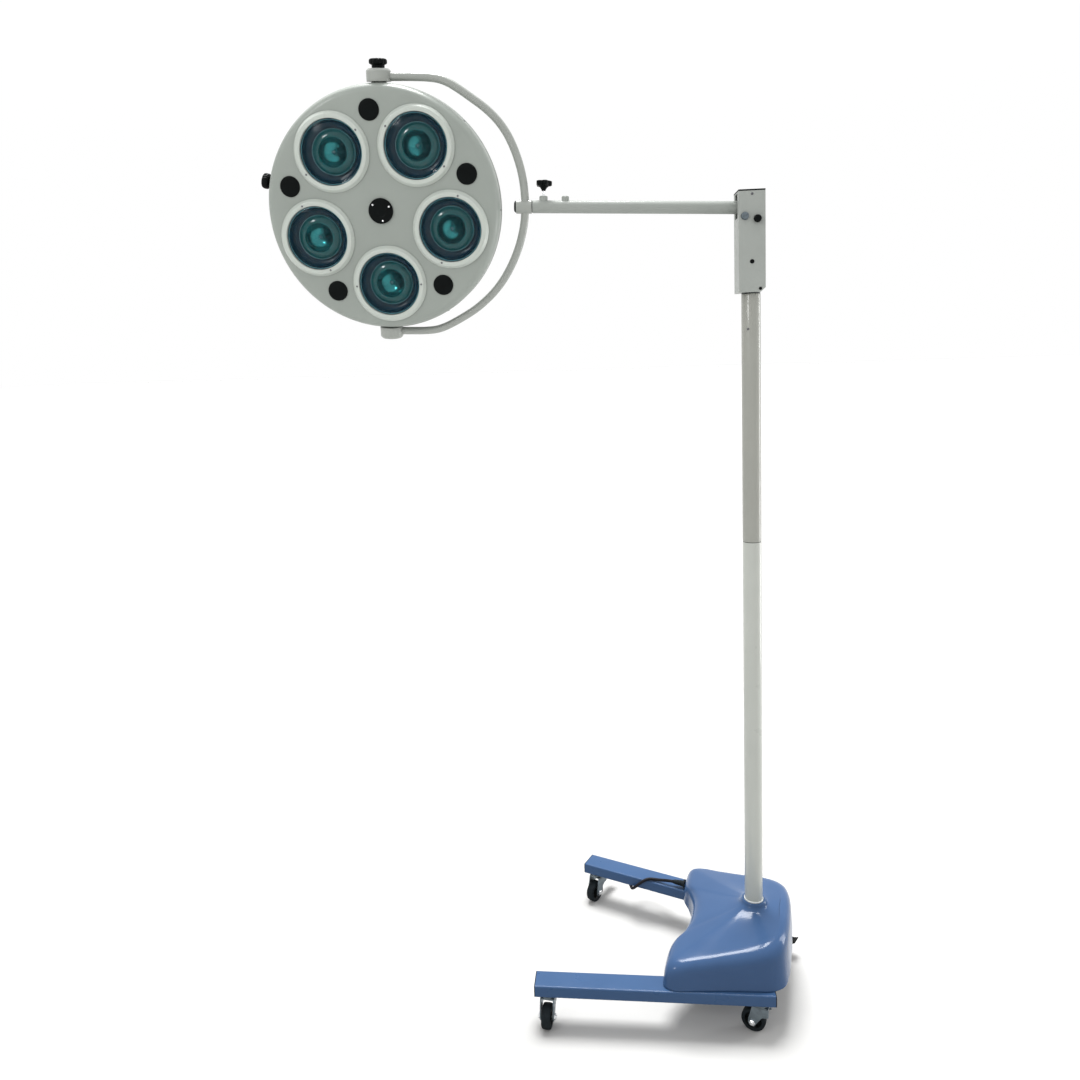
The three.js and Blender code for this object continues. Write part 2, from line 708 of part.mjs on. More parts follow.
// Places of the lamps, or of the vents between them, on a circle about the light's axis.
function patternPlaces(radius, start) {
  return Array.from({ length: LAMPS }, (_, i) => {
    const angle = start + PATTERN_TURN + (2 * Math.PI * i) / LAMPS;
    return new THREE.Vector2(radius * Math.cos(angle), radius * Math.sin(angle));
  });
}

const lampPlaces = patternPlaces(LENS_CIRCLE_R, -Math.PI / 2);
const ventPlaces = patternPlaces(VENT_CIRCLE_R, Math.PI / 2);

function frontShell() {
  const w = SHELL_WALL;
  const disc = turned([[0, FACE_Z], [222, FACE_Z], [232, 30], [HEAD_R, 19], [HEAD_R, GAP / 2],
    [HEAD_R - w, GAP / 2], [HEAD_R - w, 18], [230.5, 28], [221, FACE_Z - w], [0, FACE_Z - w]], SHELL_SIDES);
  const holes = [rod(PLATE_HOLE_R, FACE_Z - 10, FACE_Z + 5, 24)];
  for (const place of lampPlaces) {
    holes.push(rod(LENS_HOLE_R, FACE_Z - 10, FACE_Z + 5, 32).translate(place.x, place.y, 0));
  }
  for (const place of ventPlaces) {
    holes.push(rod(VENT_HOLE_R, FACE_Z - 10, FACE_Z + 5, 16).translate(place.x, place.y, 0));
  }
  return cut(disc, ...holes);
}

function rearShell() {
  return turned([[0, -84], [70, -82], [150, -69], [208, -44], [HEAD_R, -12], [HEAD_R, -GAP / 2],
    [HEAD_R - 2, -GAP / 2], [HEAD_R - 2, -11], [207, -42], [149.5, -67], [70, -80], [0, -82]], SHELL_SIDES);
}

function reflectorTray() {
  const plate = rod(226, TRAY_Z - 2, TRAY_Z, 44);
  const bowl = ring([[63.5, TRAY_Z - 2], [63.5, TRAY_Z + 3], [61.5, TRAY_Z + 3],
    [50, -4], [14, -29], [14, -31], [51.5, -5.5]], 24);
  const mouth = rod(62.4, TRAY_Z - 5, TRAY_Z + 5, 24);
  let solid = toSolid(plate);
  for (const place of lampPlaces) {
    solid = solid.subtract(toSolid(mouth.clone().translate(place.x, place.y, 0)));
    solid = solid.add(toSolid(bowl.clone().translate(place.x, place.y, 0)));
  }
  return toGeometry(solid);
}

function bezel() {
  const seat = FACE_Z + GAP;
  const foot = FACE_Z - 6;
  return ring([[BEZEL_R, seat], [BEZEL_R - 2, seat + 4], [BEZEL_R - 9, seat + 8.5],
    [BEZEL_BORE, seat + 7.5], [BEZEL_BORE, foot], [BEZEL_SPIGOT_R, foot], [BEZEL_SPIGOT_R, seat]], 32);
}

function filterGlass() {
  return rod(LENS_R, LENS_FRONT - LENS_THICKNESS, LENS_FRONT, 32);
}

function ventPlug() {
  const seat = FACE_Z + GAP;
  const spigot = VENT_HOLE_R - 0.8;
  return turned([[0, FACE_Z - 6], [spigot, FACE_Z - 6], [spigot, seat], [VENT_R, seat],
    [VENT_R - 2, seat + 2.8], [0, seat + 3.5]], 20);
}

function handlePlate() {
  const seat = FACE_Z + GAP;
  const spigot = PLATE_HOLE_R - 0.6;
  return turned([[0, FACE_Z - 8], [spigot, FACE_Z - 8], [spigot, seat],
    [PLATE_R, seat], [PLATE_R, seat + 2.5], [PLATE_R - 1.5, seat + 4], [0, seat + 4]], 28);
}

// A knob whose screw points to the head's centre; z runs outwards along the radius.
function rimKnob() {
  const foot = HEAD_R + GAP;
  return turned([[0, foot], [4, foot], [4, foot + 3], [13, foot + 4], [15.8, foot + 6.5], [15.8, foot + 13],
    [13.5, foot + 16.5], [0, foot + 18]], 24);
}

function pivotPin(name) {
  return part(name, 'steel', rod(PIN_R, HEAD_R + 0.5, YOKE_BOSS_OUT - 2, 20));
}

function lampHead() {
  const face = assembly(
    part('front_shell', 'white', frontShell()),
    part('rear_shell', 'white', rearShell()),
    part('reflector_tray', 'mirror', reflectorTray()),
    part('handle_plate', 'black', handlePlate()),
  );
  const seated = (mesh, place) => {
    mesh.position.set(place.x, place.y, 0);
    face.add(mesh);
  };
  lampPlaces.forEach((place, i) => {
    seated(part(`bezel_${i + 1}`, 'bezel', bezel()), place);
    seated(part(`filter_glass_${i + 1}`, 'glass', filterGlass()), place);
  });
  ventPlaces.forEach((place, i) => seated(part(`vent_plug_${i + 1}`, 'black', ventPlug()), place));
  const knob = part('focus_knob', 'black', alongX(rimKnob()));
  knob.position.z = RIM_KNOB_Z;
  knob.rotation.z = RIM_KNOB_ANGLE;
  face.add(knob);
  face.rotation.x = Math.PI / 2;
  const lowerPin = pivotPin('lower_pivot_pin');
  lowerPin.rotation.x = Math.PI;
  const head = assembly(face, pivotPin('upper_pivot_pin'), lowerPin);
  head.rotation.z = HEAD_TURN;
  return head;
}

// ---------------------------------------------------------------- whole light
const stand = assembly(
  base(),
  part('lower_column', 'white', lowerColumn()),
  part('upper_column', 'white', upperColumn()),
  columnHead(),
);

// The origin is on the floor, under the middle of the light without its cord.
const bounds = new THREE.Box3().setFromObject(stand, true);
const centre = bounds.getCenter(new THREE.Vector3());
const light = assembly(stand, cord());
light.position.set(-centre.x, -centre.y, 0);
light.updateMatrixWorld(true);

export default light;
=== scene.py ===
"""Looks of the mobile surgical light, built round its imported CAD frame. Lengths here are in millimetres."""
import math

import bmesh
import bpy
from mathutils import Matrix, Vector


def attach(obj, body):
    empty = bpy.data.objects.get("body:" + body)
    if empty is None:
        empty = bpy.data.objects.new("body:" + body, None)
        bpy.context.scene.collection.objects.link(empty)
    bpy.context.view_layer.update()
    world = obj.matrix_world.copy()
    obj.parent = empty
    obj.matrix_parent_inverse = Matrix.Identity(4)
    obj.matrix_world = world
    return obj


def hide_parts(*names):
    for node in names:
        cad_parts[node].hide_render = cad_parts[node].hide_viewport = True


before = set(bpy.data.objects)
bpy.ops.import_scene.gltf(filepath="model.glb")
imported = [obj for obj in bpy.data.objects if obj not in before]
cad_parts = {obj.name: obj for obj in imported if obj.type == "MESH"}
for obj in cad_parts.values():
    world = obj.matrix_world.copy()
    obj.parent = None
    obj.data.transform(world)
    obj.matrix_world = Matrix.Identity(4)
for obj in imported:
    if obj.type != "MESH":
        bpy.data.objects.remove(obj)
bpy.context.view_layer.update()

MM = 0.001
DEG = math.pi / 180

# ---------------------------------------------------------------- frames of the moving assemblies
COLUMN_X, COLUMN_Y = 430.32, -6.34
PIVOT = (-16, 0, 1652)
ARM_RISE = 20
YOKE_REACH = 718
HEAD_DROP = 6.6

BOX_TURN = 14.04
ARM_LIFT = 2.84
YOKE_ROLL = 12.94
HEAD_TURN = -2.56


def move(x, y, z):
    return Matrix.Translation((x, y, z))


def turn(degrees, axis="Z"):
    return Matrix.Rotation(degrees * DEG, 4, axis)


TO_X = turn(90, "Y")
TO_Y = turn(-90, "X")
COLUMN = move(COLUMN_X, COLUMN_Y, 0)
BOX = COLUMN @ turn(BOX_TURN)
ARM = BOX @ move(*PIVOT) @ turn(ARM_LIFT, "Y")
HUB = ARM @ move(-YOKE_REACH, 0, ARM_RISE) @ turn(YOKE_ROLL, "X")
YOKE = HUB @ move(0, 0, -HEAD_DROP)
HEAD = YOKE @ turn(HEAD_TURN)
FACE = HEAD @ turn(90, "X")


# ---------------------------------------------------------------- camera
def make_camera():
    data = bpy.data.cameras.new("camera")
    data.sensor_width = 36
    data.lens = 30.09
    data.shift_x = 0.0122
    data.shift_y = -0.0703
    data.clip_end = 100
    camera = bpy.data.objects.new("camera", data)
    bpy.context.collection.objects.link(camera)
    place = move(0.5606, -1.8966, 1.4019)
    heading, pitch, roll = 18.04, 7.04, -2.03
    camera.matrix_world = place @ turn(heading) @ turn(90 - pitch, "X") @ turn(roll)
    bpy.context.scene.camera = camera


make_camera()


# ---------------------------------------------------------------- material helpers
def new_material(name, color, roughness, metallic=0.0, coat=0.0, coat_roughness=0.1, specular=0.5):
    mat = bpy.data.materials.new(name)
    mat.use_nodes = True
    shader = mat.node_tree.nodes["Principled BSDF"]
    shader.inputs["Base Color"].default_value = (*color, 1)
    shader.inputs["Roughness"].default_value = roughness
    shader.inputs["Metallic"].default_value = metallic
    shader.inputs["Coat Weight"].default_value = coat
    shader.inputs["Coat Roughness"].default_value = coat_roughness
    shader.inputs["Specular IOR Level"].default_value = specular
    return mat


def coordinates(mat, stretch):
    nodes, links = mat.node_tree.nodes, mat.node_tree.links
    place = nodes.new("ShaderNodeTexCoord")
    scale = nodes.new("ShaderNodeMapping")
    scale.inputs["Scale"].default_value = stretch
    links.new(place.outputs["Object"], scale.inputs["Vector"])
    return scale.outputs["Vector"]


def noise(mat, scale, detail, stretch=(1, 1, 1)):
    node = mat.node_tree.nodes.new("ShaderNodeTexNoise")
    node.inputs["Scale"].default_value = scale
    node.inputs["Detail"].default_value = detail
    mat.node_tree.links.new(coordinates(mat, stretch), node.inputs["Vector"])
    return node.outputs["Fac"]


# The range of a noise's value over which colours and roughnesses are spread.
NOISE_LOW = 0.3
NOISE_HIGH = 0.7


def vary_color(mat, factor, low, high):
    node = mat.node_tree.nodes.new("ShaderNodeValToRGB")
    first, last = node.color_ramp.elements
    first.position = NOISE_LOW
    last.position = NOISE_HIGH
    first.color = (*low, 1)
    last.color = (*high, 1)
    shader = mat.node_tree.nodes["Principled BSDF"]
    mat.node_tree.links.new(factor, node.inputs["Fac"])
    mat.node_tree.links.new(node.outputs["Color"], shader.inputs["Base Color"])


def vary_roughness(mat, factor, low, high):
    node = mat.node_tree.nodes.new("ShaderNodeMapRange")
    node.inputs["From Min"].default_value = NOISE_LOW
    node.inputs["From Max"].default_value = NOISE_HIGH
    node.inputs["To Min"].default_value = low
    node.inputs["To Max"].default_value = high
    shader = mat.node_tree.nodes["Principled BSDF"]
    mat.node_tree.links.new(factor, node.inputs["Value"])
    mat.node_tree.links.new(node.outputs["Result"], shader.inputs["Roughness"])


def bump(mat, factor, strength, distance):
    node = mat.node_tree.nodes.new("ShaderNodeBump")
    node.inputs["Strength"].default_value = strength
    node.inputs["Distance"].default_value = distance
    mat.node_tree.links.new(factor, node.inputs["Height"])
    shader = mat.node_tree.nodes["Principled BSDF"]
    mat.node_tree.links.new(node.outputs["Normal"], shader.inputs["Normal"])


def shade(color, factor):
    return tuple(min(1.0, c * factor) for c in color)


def enamel(name, color, roughness, coat, grain=900, depth=0.00006, specular=0.3):
    """Sprayed enamel: fine orange peel, slight clouding of colour, and patches wiped more or less shiny."""
    mat = new_material(name, color, roughness, coat=coat, coat_roughness=0.08, specular=specular)
    vary_color(mat, noise(mat, 9, 5), shade(color, 0.95), shade(color, 1.03))
    vary_roughness(mat, noise(mat, 24, 6), roughness * 0.85, roughness * 1.25)
    bump(mat, noise(mat, grain, 2), 0.25, depth)
    return mat


def moulded(name, color, roughness, grain=1600, depth=0.0001):
    """Moulded plastic or rubber with a fine spark-eroded grain."""
    mat = new_material(name, color, roughness, specular=0.07)
    vary_color(mat, noise(mat, 60, 6), shade(color, 0.75), shade(color, 1.3))
    vary_roughness(mat, noise(mat, 130, 4), roughness * 0.85, roughness * 1.2)
    bump(mat, noise(mat, grain, 3), 0.35, depth)
    return mat


def metal(name, color, roughness, stretch=(1, 1, 1), grain=500):
    mat = new_material(name, color, roughness, metallic=1.0)
    vary_color(mat, noise(mat, 70, 6, stretch), shade(color, 0.8), shade(color, 1.1))
    vary_roughness(mat, noise(mat, 160, 5, stretch), roughness * 0.7, roughness * 1.4)
    bump(mat, noise(mat, grain, 3, stretch), 0.2, 0.00005)
    return mat


WHITE = enamel("head_enamel", (0.25, 0.275, 0.252), 0.38, 0.1)
COLUMN_WHITE = enamel("column_enamel", (0.38, 0.395, 0.365), 0.32, 0.4)
BOX_WHITE = enamel("box_enamel", (0.28, 0.298, 0.28), 0.42, 0.08)
BEZEL = enamel("bezel_gloss", (0.41, 0.445, 0.41), 0.3, 0.35, 1400, 0.00003)
BLUE = enamel("blue_enamel", (0.027, 0.062, 0.136), 0.3, 0.1, 500, 0.00005, 0.12)
COVER = enamel("blue_gel_coat", (0.028, 0.061, 0.134), 0.2, 0.14, 120, 0.00015, 0.1)
BLACK = moulded("black_plastic", (0.0015, 0.0025, 0.0025), 0.4)
CAP = moulded("cap_plastic", (0.004, 0.0045, 0.005), 0.5)
RUBBER = moulded("tyre_rubber", (0.008, 0.011, 0.013), 0.62, 900, 0.0002)
CORD_SKIN = moulded("cord_sheath", (0.008, 0.008, 0.01), 0.45, 2500, 0.00005)
ZINC = metal("zinc_plate", (0.15, 0.18, 0.2), 0.42)
STEEL = metal("bright_steel", (0.55, 0.56, 0.57), 0.26, (1, 1, 6))
SCREW = metal("dark_screw", (0.13, 0.13, 0.14), 0.4)
CHROME = metal("chrome_screw", (0.75, 0.76, 0.77), 0.18)
IRON = moulded("iron_primer", (0.05, 0.053, 0.057), 0.7, 300, 0.0004)

UPPER_WHITE = enamel("upper_column_enamel", (0.262, 0.266, 0.24), 0.34, 0.35)
YOKE_WHITE = enamel("yoke_enamel", (0.27, 0.285, 0.265), 0.36, 0.3)
ARM_WHITE = enamel("arm_enamel", (0.27, 0.288, 0.27), 0.5, 0.04, specular=0.1)
GROMMET = moulded("grommet_rubber", (0.5, 0.52, 0.52), 0.4)
SEAM = moulded("seam_shadow", (0.03, 0.032, 0.034), 0.6)
TAPE = moulded("hook_tape", (0.02, 0.02, 0.022), 0.9, 1400, 0.0006)
FRAME_PAINT = enamel("frame_paint", (0.08, 0.12, 0.22), 0.5, 0.1)
# Painted reflection: the well's dark navy colour stands in for the reflector's inner wall seen reflected in
# it.
WELL_PAINTED_REFLECTION = enamel("lamp_well", (0.001, 0.012, 0.026), 0.2, 0.1, 300, 0.00002, 0.15)
TEAL = enamel("teal_lens", (0.004, 0.058, 0.06), 0.1, 0.4, 200, 0.00002, 0.2)
# Painted highlight: the thin rings at the glass rim and at the lens edge are coloured light to stand in for
# light glinting on those edges.
RIM_PAINTED_HIGHLIGHT = enamel("lens_edge_painted_highlight", (0.1, 0.24, 0.27), 0.2, 0.6)
BOWL = metal("bulb_bowl", (0.035, 0.22, 0.23), 0.14, (1, 1, 1), 200)
BULB = enamel("bulb_glass", (0.008, 0.06, 0.07), 0.05, 1.0, 200, 0.00002)


def filter_glass():
    """Thin coated glass: mostly clear, a faint blue-green tint, and a sheen with fine dust."""
    mat = new_material("filter_glass", (0.05, 0.2, 0.24), 0.05, coat=0.4, coat_roughness=0.03)
    mat.node_tree.nodes["Principled BSDF"].inputs["Alpha"].default_value = 0.06
    vary_roughness(mat, noise(mat, 40, 6), 0.03, 0.09)
    vary_color(mat, noise(mat, 8, 3), (0.015, 0.06, 0.08), (0.02, 0.08, 0.1))
    return mat


GLASS = filter_glass()


# ---------------------------------------------------------------- mesh helpers
def soften(piece, width, sharp, segments=2):
    """Rounds the piece's edges that are sharper than the angle."""
    rounding = piece.modifiers.new("rounding", "BEVEL")
    rounding.width = width * MM
    rounding.segments = segments
    rounding.limit_method = "ANGLE"
    rounding.angle_limit = sharp * DEG
    rounding.harden_normals = True


def finish_mesh(bm, name, place, mat, sharp=34, bevel=0.0, levels=0):
    """Links the mesh, made in millimetres in the given frame. Its shading is smooth, and breaks at sharp
    angles unless they are bevelled or the mesh is subdivided."""
    bmesh.ops.remove_doubles(bm, verts=bm.verts, dist=0.0005)
    bmesh.ops.recalc_face_normals(bm, faces=bm.faces)
    bm.transform(Matrix.Scale(MM, 4) @ place)
    mesh = bpy.data.meshes.new(name)
    bm.to_mesh(mesh)
    bm.free()
    mesh.materials.append(mat)
    mesh.shade_smooth()
    if not bevel and not levels:
        mesh.set_sharp_from_angle(angle=sharp * DEG)
    piece = bpy.data.objects.new(name, mesh)
    bpy.context.collection.objects.link(piece)
    if bevel:
        soften(piece, bevel, sharp)
    if levels:
        smooth = piece.modifiers.new("smooth", "SUBSURF")
        smooth.levels = smooth.render_levels = levels
    return piece


def polar(radius, angle, z=0.0):
    return Vector((radius * math.cos(angle), radius * math.sin(angle), z))


def arc(radius, start, sweep, steps):
    """Flat points of an arc about the origin, with angles in radians."""
    angles = [start + sweep * i / steps for i in range(steps + 1)]
    return [(radius * math.cos(angle), radius * math.sin(angle)) for angle in angles]


def join_rings(bm, rings, closed=False):
    """Joins each ring of vertices to the next with faces. A ring of a single vertex is a point."""
    pairs = list(zip(rings, rings[1:]))
    if closed:
        pairs.append((rings[-1], rings[0]))
    for a, b in pairs:
        sides = max(len(a), len(b))
        if sides == 1:
            continue
        for i in range(sides):
            j = (i + 1) % sides
            if len(a) == 1:
                bm.faces.new((a[0], b[j], b[i]))
            elif len(b) == 1:
                bm.faces.new((a[i], a[j], b[0]))
            else:
                bm.faces.new((a[i], a[j], b[j], b[i]))


def add_ring(bm, radius, height, sides, place, flutes=0, depth=0.0):
    """Adds a ring of vertices about Z, or a single vertex where the radius is nothing."""
    if radius < 1e-6:
        return [bm.verts.new(place @ Vector((0, 0, height)))]
    ring = []
    for i in range(sides):
        angle = 2 * math.pi * i / sides
        wave = 0.5 + 0.5 * math.cos(flutes * angle)
        ring.append(bm.verts.new(place @ polar(radius - depth * wave ** 2, angle, height)))
    return ring


def add_turned(bm, profile, sides=72, place=Matrix.Identity(4)):
    """Adds a turned form about Z. A profile that touches the axis at neither end is closed on itself."""
    rings = [add_ring(bm, radius, height, sides, place) for radius, height in profile]
    join_rings(bm, rings, closed=len(rings[0]) > 1 and len(rings[-1]) > 1)


def add_fluted(bm, profile, flutes, depth, sides):
    """Adds a turned form whose (radius, height, grip) rings are fluted to depth times grip."""
    upright = Matrix.Identity(4)
    join_rings(bm, [add_ring(bm, radius, height, sides, upright, flutes, depth * grip)
                    for radius, height, grip in profile])


def turned(name, profile, place, mat, sides=72, **options):
    bm = bmesh.new()
    add_turned(bm, profile, sides)
    return finish_mesh(bm, name, place, mat, **options)


def rounded(profile, radius, steps=3):
    """Rounds each inner corner of an open profile."""
    points = [Vector(p) for p in profile]
    result = [tuple(points[0])]
    for before, here, after in zip(points, points[1:], points[2:]):
        back, ahead = before - here, after - here
        reach = min(radius, back.length / 2.2, ahead.length / 2.2)
        start, end = here + back.normalized() * reach, here + ahead.normalized() * reach
        for i in range(steps + 1):
            t = i / steps
            point = start * (1 - t) ** 2 + here * (2 * t * (1 - t)) + end * t ** 2
            result.append(tuple(point))
    result.append(tuple(points[-1]))
    return result


def add_block(bm, x0, x1, y0, y1, z0, z1, place=Matrix.Identity(4)):
    corners = [bm.verts.new(place @ Vector((x, y, z))) for z in (z0, z1) for y in (y0, y1) for x in (x0, x1)]
    for a, b, c, d in ((0, 2, 3, 1), (4, 5, 7, 6), (0, 1, 5, 4), (2, 6, 7, 3), (0, 4, 6, 2), (1, 3, 7, 5)):
        bm.faces.new((corners[a], corners[b], corners[c], corners[d]))


def add_prism(bm, near_points, far_points):
    near = [bm.verts.new(point) for point in near_points]
    far = [bm.verts.new(point) for point in far_points]
    bm.faces.new(near)
    bm.faces.new(list(reversed(far)))
    count = len(near)
    for i in range(count):
        j = (i + 1) % count
        bm.faces.new((near[i], far[i], far[j], near[j]))


def add_slab(bm, outline, y0, y1):
    """Adds an outline of (x, z) points drawn out along Y."""
    add_prism(bm, [(x, y0, z) for x, z in outline], [(x, y1, z) for x, z in outline])


def add_bar(bm, outline, x0, x1, place=Matrix.Identity(4)):
    """Adds a closed outline of (y, z) points drawn out along X."""
    add_prism(bm, [place @ Vector((x0, y, z)) for y, z in outline],
              [place @ Vector((x1, y, z)) for y, z in outline])


def add_sweep(bm, points, radius, sides):
    """Adds a round bar along points, which do not start upright."""
    count = len(points)
    normal = None
    rings = []
    for i, point in enumerate(points):
        ahead = points[min(i + 1, count - 1)] - points[max(i - 1, 0)]
        ahead.normalize()
        if normal is None:
            normal = ahead.cross(Vector((0, 0, 1))).normalized()
        normal = (normal - ahead * normal.dot(ahead)).normalized()
        side = ahead.cross(normal)
        rings.append([bm.verts.new(point + (normal * math.cos(a) + side * math.sin(a)) * radius)
                      for a in (2 * math.pi * k / sides for k in range(sides))])
    join_rings(bm, rings)
    bm.faces.new(list(reversed(rings[0])))
    bm.faces.new(rings[-1])


def catmull(points, per_span=6, closed=False):
    """A smooth curve through the points, as a denser list of points."""
    pts = [Vector(p) for p in points]
    count = len(pts)
    spans = count if closed else count - 1
    result = []

    def knot(i):
        if closed:
            return pts[i % count]
        if i < 0:
            return pts[0] * 2 - pts[1]
        if i >= count:
            return pts[-1] * 2 - pts[-2]
        return pts[i]

    for s in range(spans):
        p0, p1, p2, p3 = knot(s - 1), knot(s), knot(s + 1), knot(s + 2)
        t0 = 0.0
        t1 = t0 + max(1e-6, (p1 - p0).length) ** 0.5
        t2 = t1 + max(1e-6, (p2 - p1).length) ** 0.5
        t3 = t2 + max(1e-6, (p3 - p2).length) ** 0.5
        for k in range(per_span):
            t = t1 + (t2 - t1) * k / per_span
            a1 = p0 * ((t1 - t) / (t1 - t0)) + p1 * ((t - t0) / (t1 - t0))
            a2 = p1 * ((t2 - t) / (t2 - t1)) + p2 * ((t - t1) / (t2 - t1))
            a3 = p2 * ((t3 - t) / (t3 - t2)) + p3 * ((t - t2) / (t3 - t2))
            b1 = a1 * ((t2 - t) / (t2 - t0)) + a2 * ((t - t0) / (t2 - t0))
            b2 = a2 * ((t3 - t) / (t3 - t1)) + a3 * ((t - t1) / (t3 - t1))
            result.append(b1 * ((t2 - t) / (t2 - t1)) + b2 * ((t - t1) / (t2 - t1)))
    if not closed:
        result.append(pts[-1].copy())
    return result


def place_piece(piece, body, slot, *nodes):
    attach(piece, body)
    if nodes:
        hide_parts(*nodes)
    return piece


def rounded_rectangle(width, height, radius, steps=5):
    """Points about the middle of the lower side, which lies on zero height."""
    points = []
    corners = ((width / 2 - radius, radius, -90), (width / 2 - radius, height - radius, 0),
               (-width / 2 + radius, height - radius, 90), (-width / 2 + radius, radius, 180))
    for x, y, start in corners:
        points += [(x + dx, y + dy) for dx, dy in arc(radius, start * DEG, 90 * DEG, steps)]
    return points


def add_hexagon(bm, across, z0, z1, place=Matrix.Identity(4)):
    radius = across / math.sqrt(3)
    profile = [(0, z0), (radius, z0), (radius, z1 - 0.6), (radius - 0.8, z1), (0, z1)]
    add_turned(bm, profile, 6, place)


def add_cross_screw(bm, radius, place):
    """A pan-head screw on Z = 0 with a cross recess stood in for by four raised quarters round a groove."""
    add_turned(bm, [(0, 0), (radius, 0), (radius * 0.96, radius * 0.25), (radius * 0.7, radius * 0.45),
                    (0, radius * 0.45)], 20, place)
    groove = radius * 0.13
    reach = radius * 0.52
    top = radius * 0.56
    for quarter in range(4):
        spin = place @ turn(90 * quarter)
        points = [(groove, groove), (reach, groove), (reach * 0.72, reach * 0.72), (groove, reach)]
        low = [bm.verts.new(spin @ Vector((x, y, radius * 0.4))) for x, y in points]
        high = [bm.verts.new(spin @ Vector((x * 0.94, y * 0.94, top))) for x, y in points]
        bm.faces.new(high)
        join_rings(bm, [low, high])


def screws(name, radius, places, frame_place, body, mat):
    bm = bmesh.new()
    for place in places:
        add_cross_screw(bm, radius, place)
    return place_piece(finish_mesh(bm, name, frame_place, mat, sharp=40), body, "steel")


def recolor(node, mat, bevel, segments=2):
    """Gives a CAD node its finish, and softens its sharp edges."""
    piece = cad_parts[node]
    piece.data.materials.clear()
    piece.data.materials.append(mat)
    soften(piece, bevel, 40, segments)


# ---------------------------------------------------------------- mains cord
CORD_R = 3.5
LEG_BOTTOM = 72
GLAND = Vector((-173.8, 166, 108.5))
GLAND_TURN = 84 * DEG
COIL_CENTRE = Vector((-62, 300, 0))
COIL_RADII = (31.5, 38.5, 45.5, 52.5)
COIL_LOW = 3.6
COIL_HIGH = 10.6
COIL_STEPS = 24
COIL_TURNS = 2 * len(COIL_RADII)

# The route from the gland to the coil, about the column's axis.
CORD_ROUTE = [
    (-203.2, 169.1, 108.5), (-215.5, 171, 107.3), (-228, 173.6, 104.8), (-240, 176, 102.6),
    (-252, 176.8, 101.9), (-263.3, 174.6, 102), (-273.6, 170, 99.6), (-284.4, 165.6, 93),
    (-294.8, 165.6, 83), (-303.8, 171.9, 73.2), (-310.4, 184.8, 66.8), (-314.4, 200.6, 64.9),
    (-315, 216.6, 65.4), (-312.5, 228.7, 66.4), (-305.9, 238.5, 67), (-295.6, 245.3, 67.4),
    (-284, 247.6, 67.6), (-271.4, 245.3, 67.7), (-256.4, 238.6, 67.7), (-241, 229.8, 67.6),
    (-225.4, 219.8, 67.6), (-209.6, 209.9, 67.6), (-192.9, 201.2, 67.6), (-175.6, 195.4, 66.8),
    (-158.6, 193.4, 63.3), (-143.4, 195.4, 55.8), (-131.4, 200.9, 44.7), (-123, 209.7, 31.5),
    (-117.9, 221.4, 18.6), (-115.4, 236, 8.7), (-114.6, 252.9, 4.2), (-114.5, 267, 3.8),
]


def coil_points():
    """Turns wound inwards on the floor, then outwards again on top of them."""
    turns = [(radius, COIL_LOW) for radius in reversed(COIL_RADII)]
    turns += [(radius, COIL_HIGH) for radius in COIL_RADII]
    angle = math.pi
    points = []
    for i, (radius, z) in enumerate(turns):
        following = turns[i + 1] if i + 1 < len(turns) else (radius, z)
        for k in range(COIL_STEPS):
            t = k / COIL_STEPS
            ease = max(0.0, (t - 0.75) / 0.25)
            ease = ease * ease * (3 - 2 * ease)
            r = radius + (following[0] - radius) * ease
            height = z + (following[1] - z) * ease
            points.append(COIL_CENTRE + polar(r, angle, height))
            angle -= 2 * math.pi / COIL_STEPS
    return points, angle


def make_gland():
    profile = [(0, 0), (10, 0), (10, 1), (9.4, 3.2), (7.6, 4)]
    ribs = 5
    for i in range(ribs):
        z = 5.2 + i * 4.4
        r = 7.1 - i * 0.42
        profile += [(r, z), (r - 0.1, z + 2.6), (r - 1.1, z + 2.9), (r - 1.2, z + 3.9)]
    profile += [(4.9, 27.6), (4.3, 28.4), (3.55, 28.5), (0, 28.5)]
    place = COLUMN @ move(*GLAND) @ Matrix.Rotation(GLAND_TURN, 4, "Z") @ TO_Y
    relief = turned("cord_relief", profile, place, RUBBER, 40, sharp=50)
    place_piece(relief, "base", "black_rubber", "cord_gland")


def make_clips():
    """Two saddles that hold the mains cord up under the right leg."""
    bm = bmesh.new()
    for point, heading in ((Vector((-314.4, 200.6, 64.8)), 97), (Vector((-192.9, 201.2, 67.6)), -23)):
        place = move(*point) @ turn(heading)
        rise = LEG_BOTTOM - point.z
        outline = [(-13, rise), (-13, rise - 1.3), (-4.9, rise - 1.3)] + arc(4.9, math.pi, math.pi, 12)
        outline += [(4.9, rise - 1.3), (13, rise - 1.3), (13, rise), (3.7, rise)]
        outline += arc(3.7, 2 * math.pi, -math.pi, 12) + [(-3.7, rise)]
        add_bar(bm, outline, -4, 4, place)
    clips = finish_mesh(bm, "cord_saddles", COLUMN, BLACK, sharp=40)
    place_piece(clips, "base", "black_plastic")


def make_coil_tie():
    """Two bands of hook-and-loop tape round the bundle of turns, on the side away from the plug."""
    bm = bmesh.new()
    middle = (COIL_RADII[0] + COIL_RADII[-1]) / 2
    half = (COIL_RADII[-1] - COIL_RADII[0]) / 2 + CORD_R + 0.5
    outline = rounded_rectangle(2 * half, 14.4, 3.5)
    inner = [(y * 0.96, 7.2 + (z - 7.2) * 0.9) for y, z in outline]
    for angle in (215, 320):
        place = move(COIL_CENTRE.x, COIL_CENTRE.y, 0) @ turn(angle) @ move(middle, 0, 0) @ turn(90)
        rings = []
        for x, loop in ((-6, outline), (6, outline), (6, inner), (-6, inner)):
            rings.append([bm.verts.new(place @ Vector((x, y, z))) for y, z in loop])
        join_rings(bm, rings, closed=True)
    tie = finish_mesh(bm, "coil_tie", COLUMN, TAPE, sharp=40)
    place_piece(tie, "base", "black_rubber")


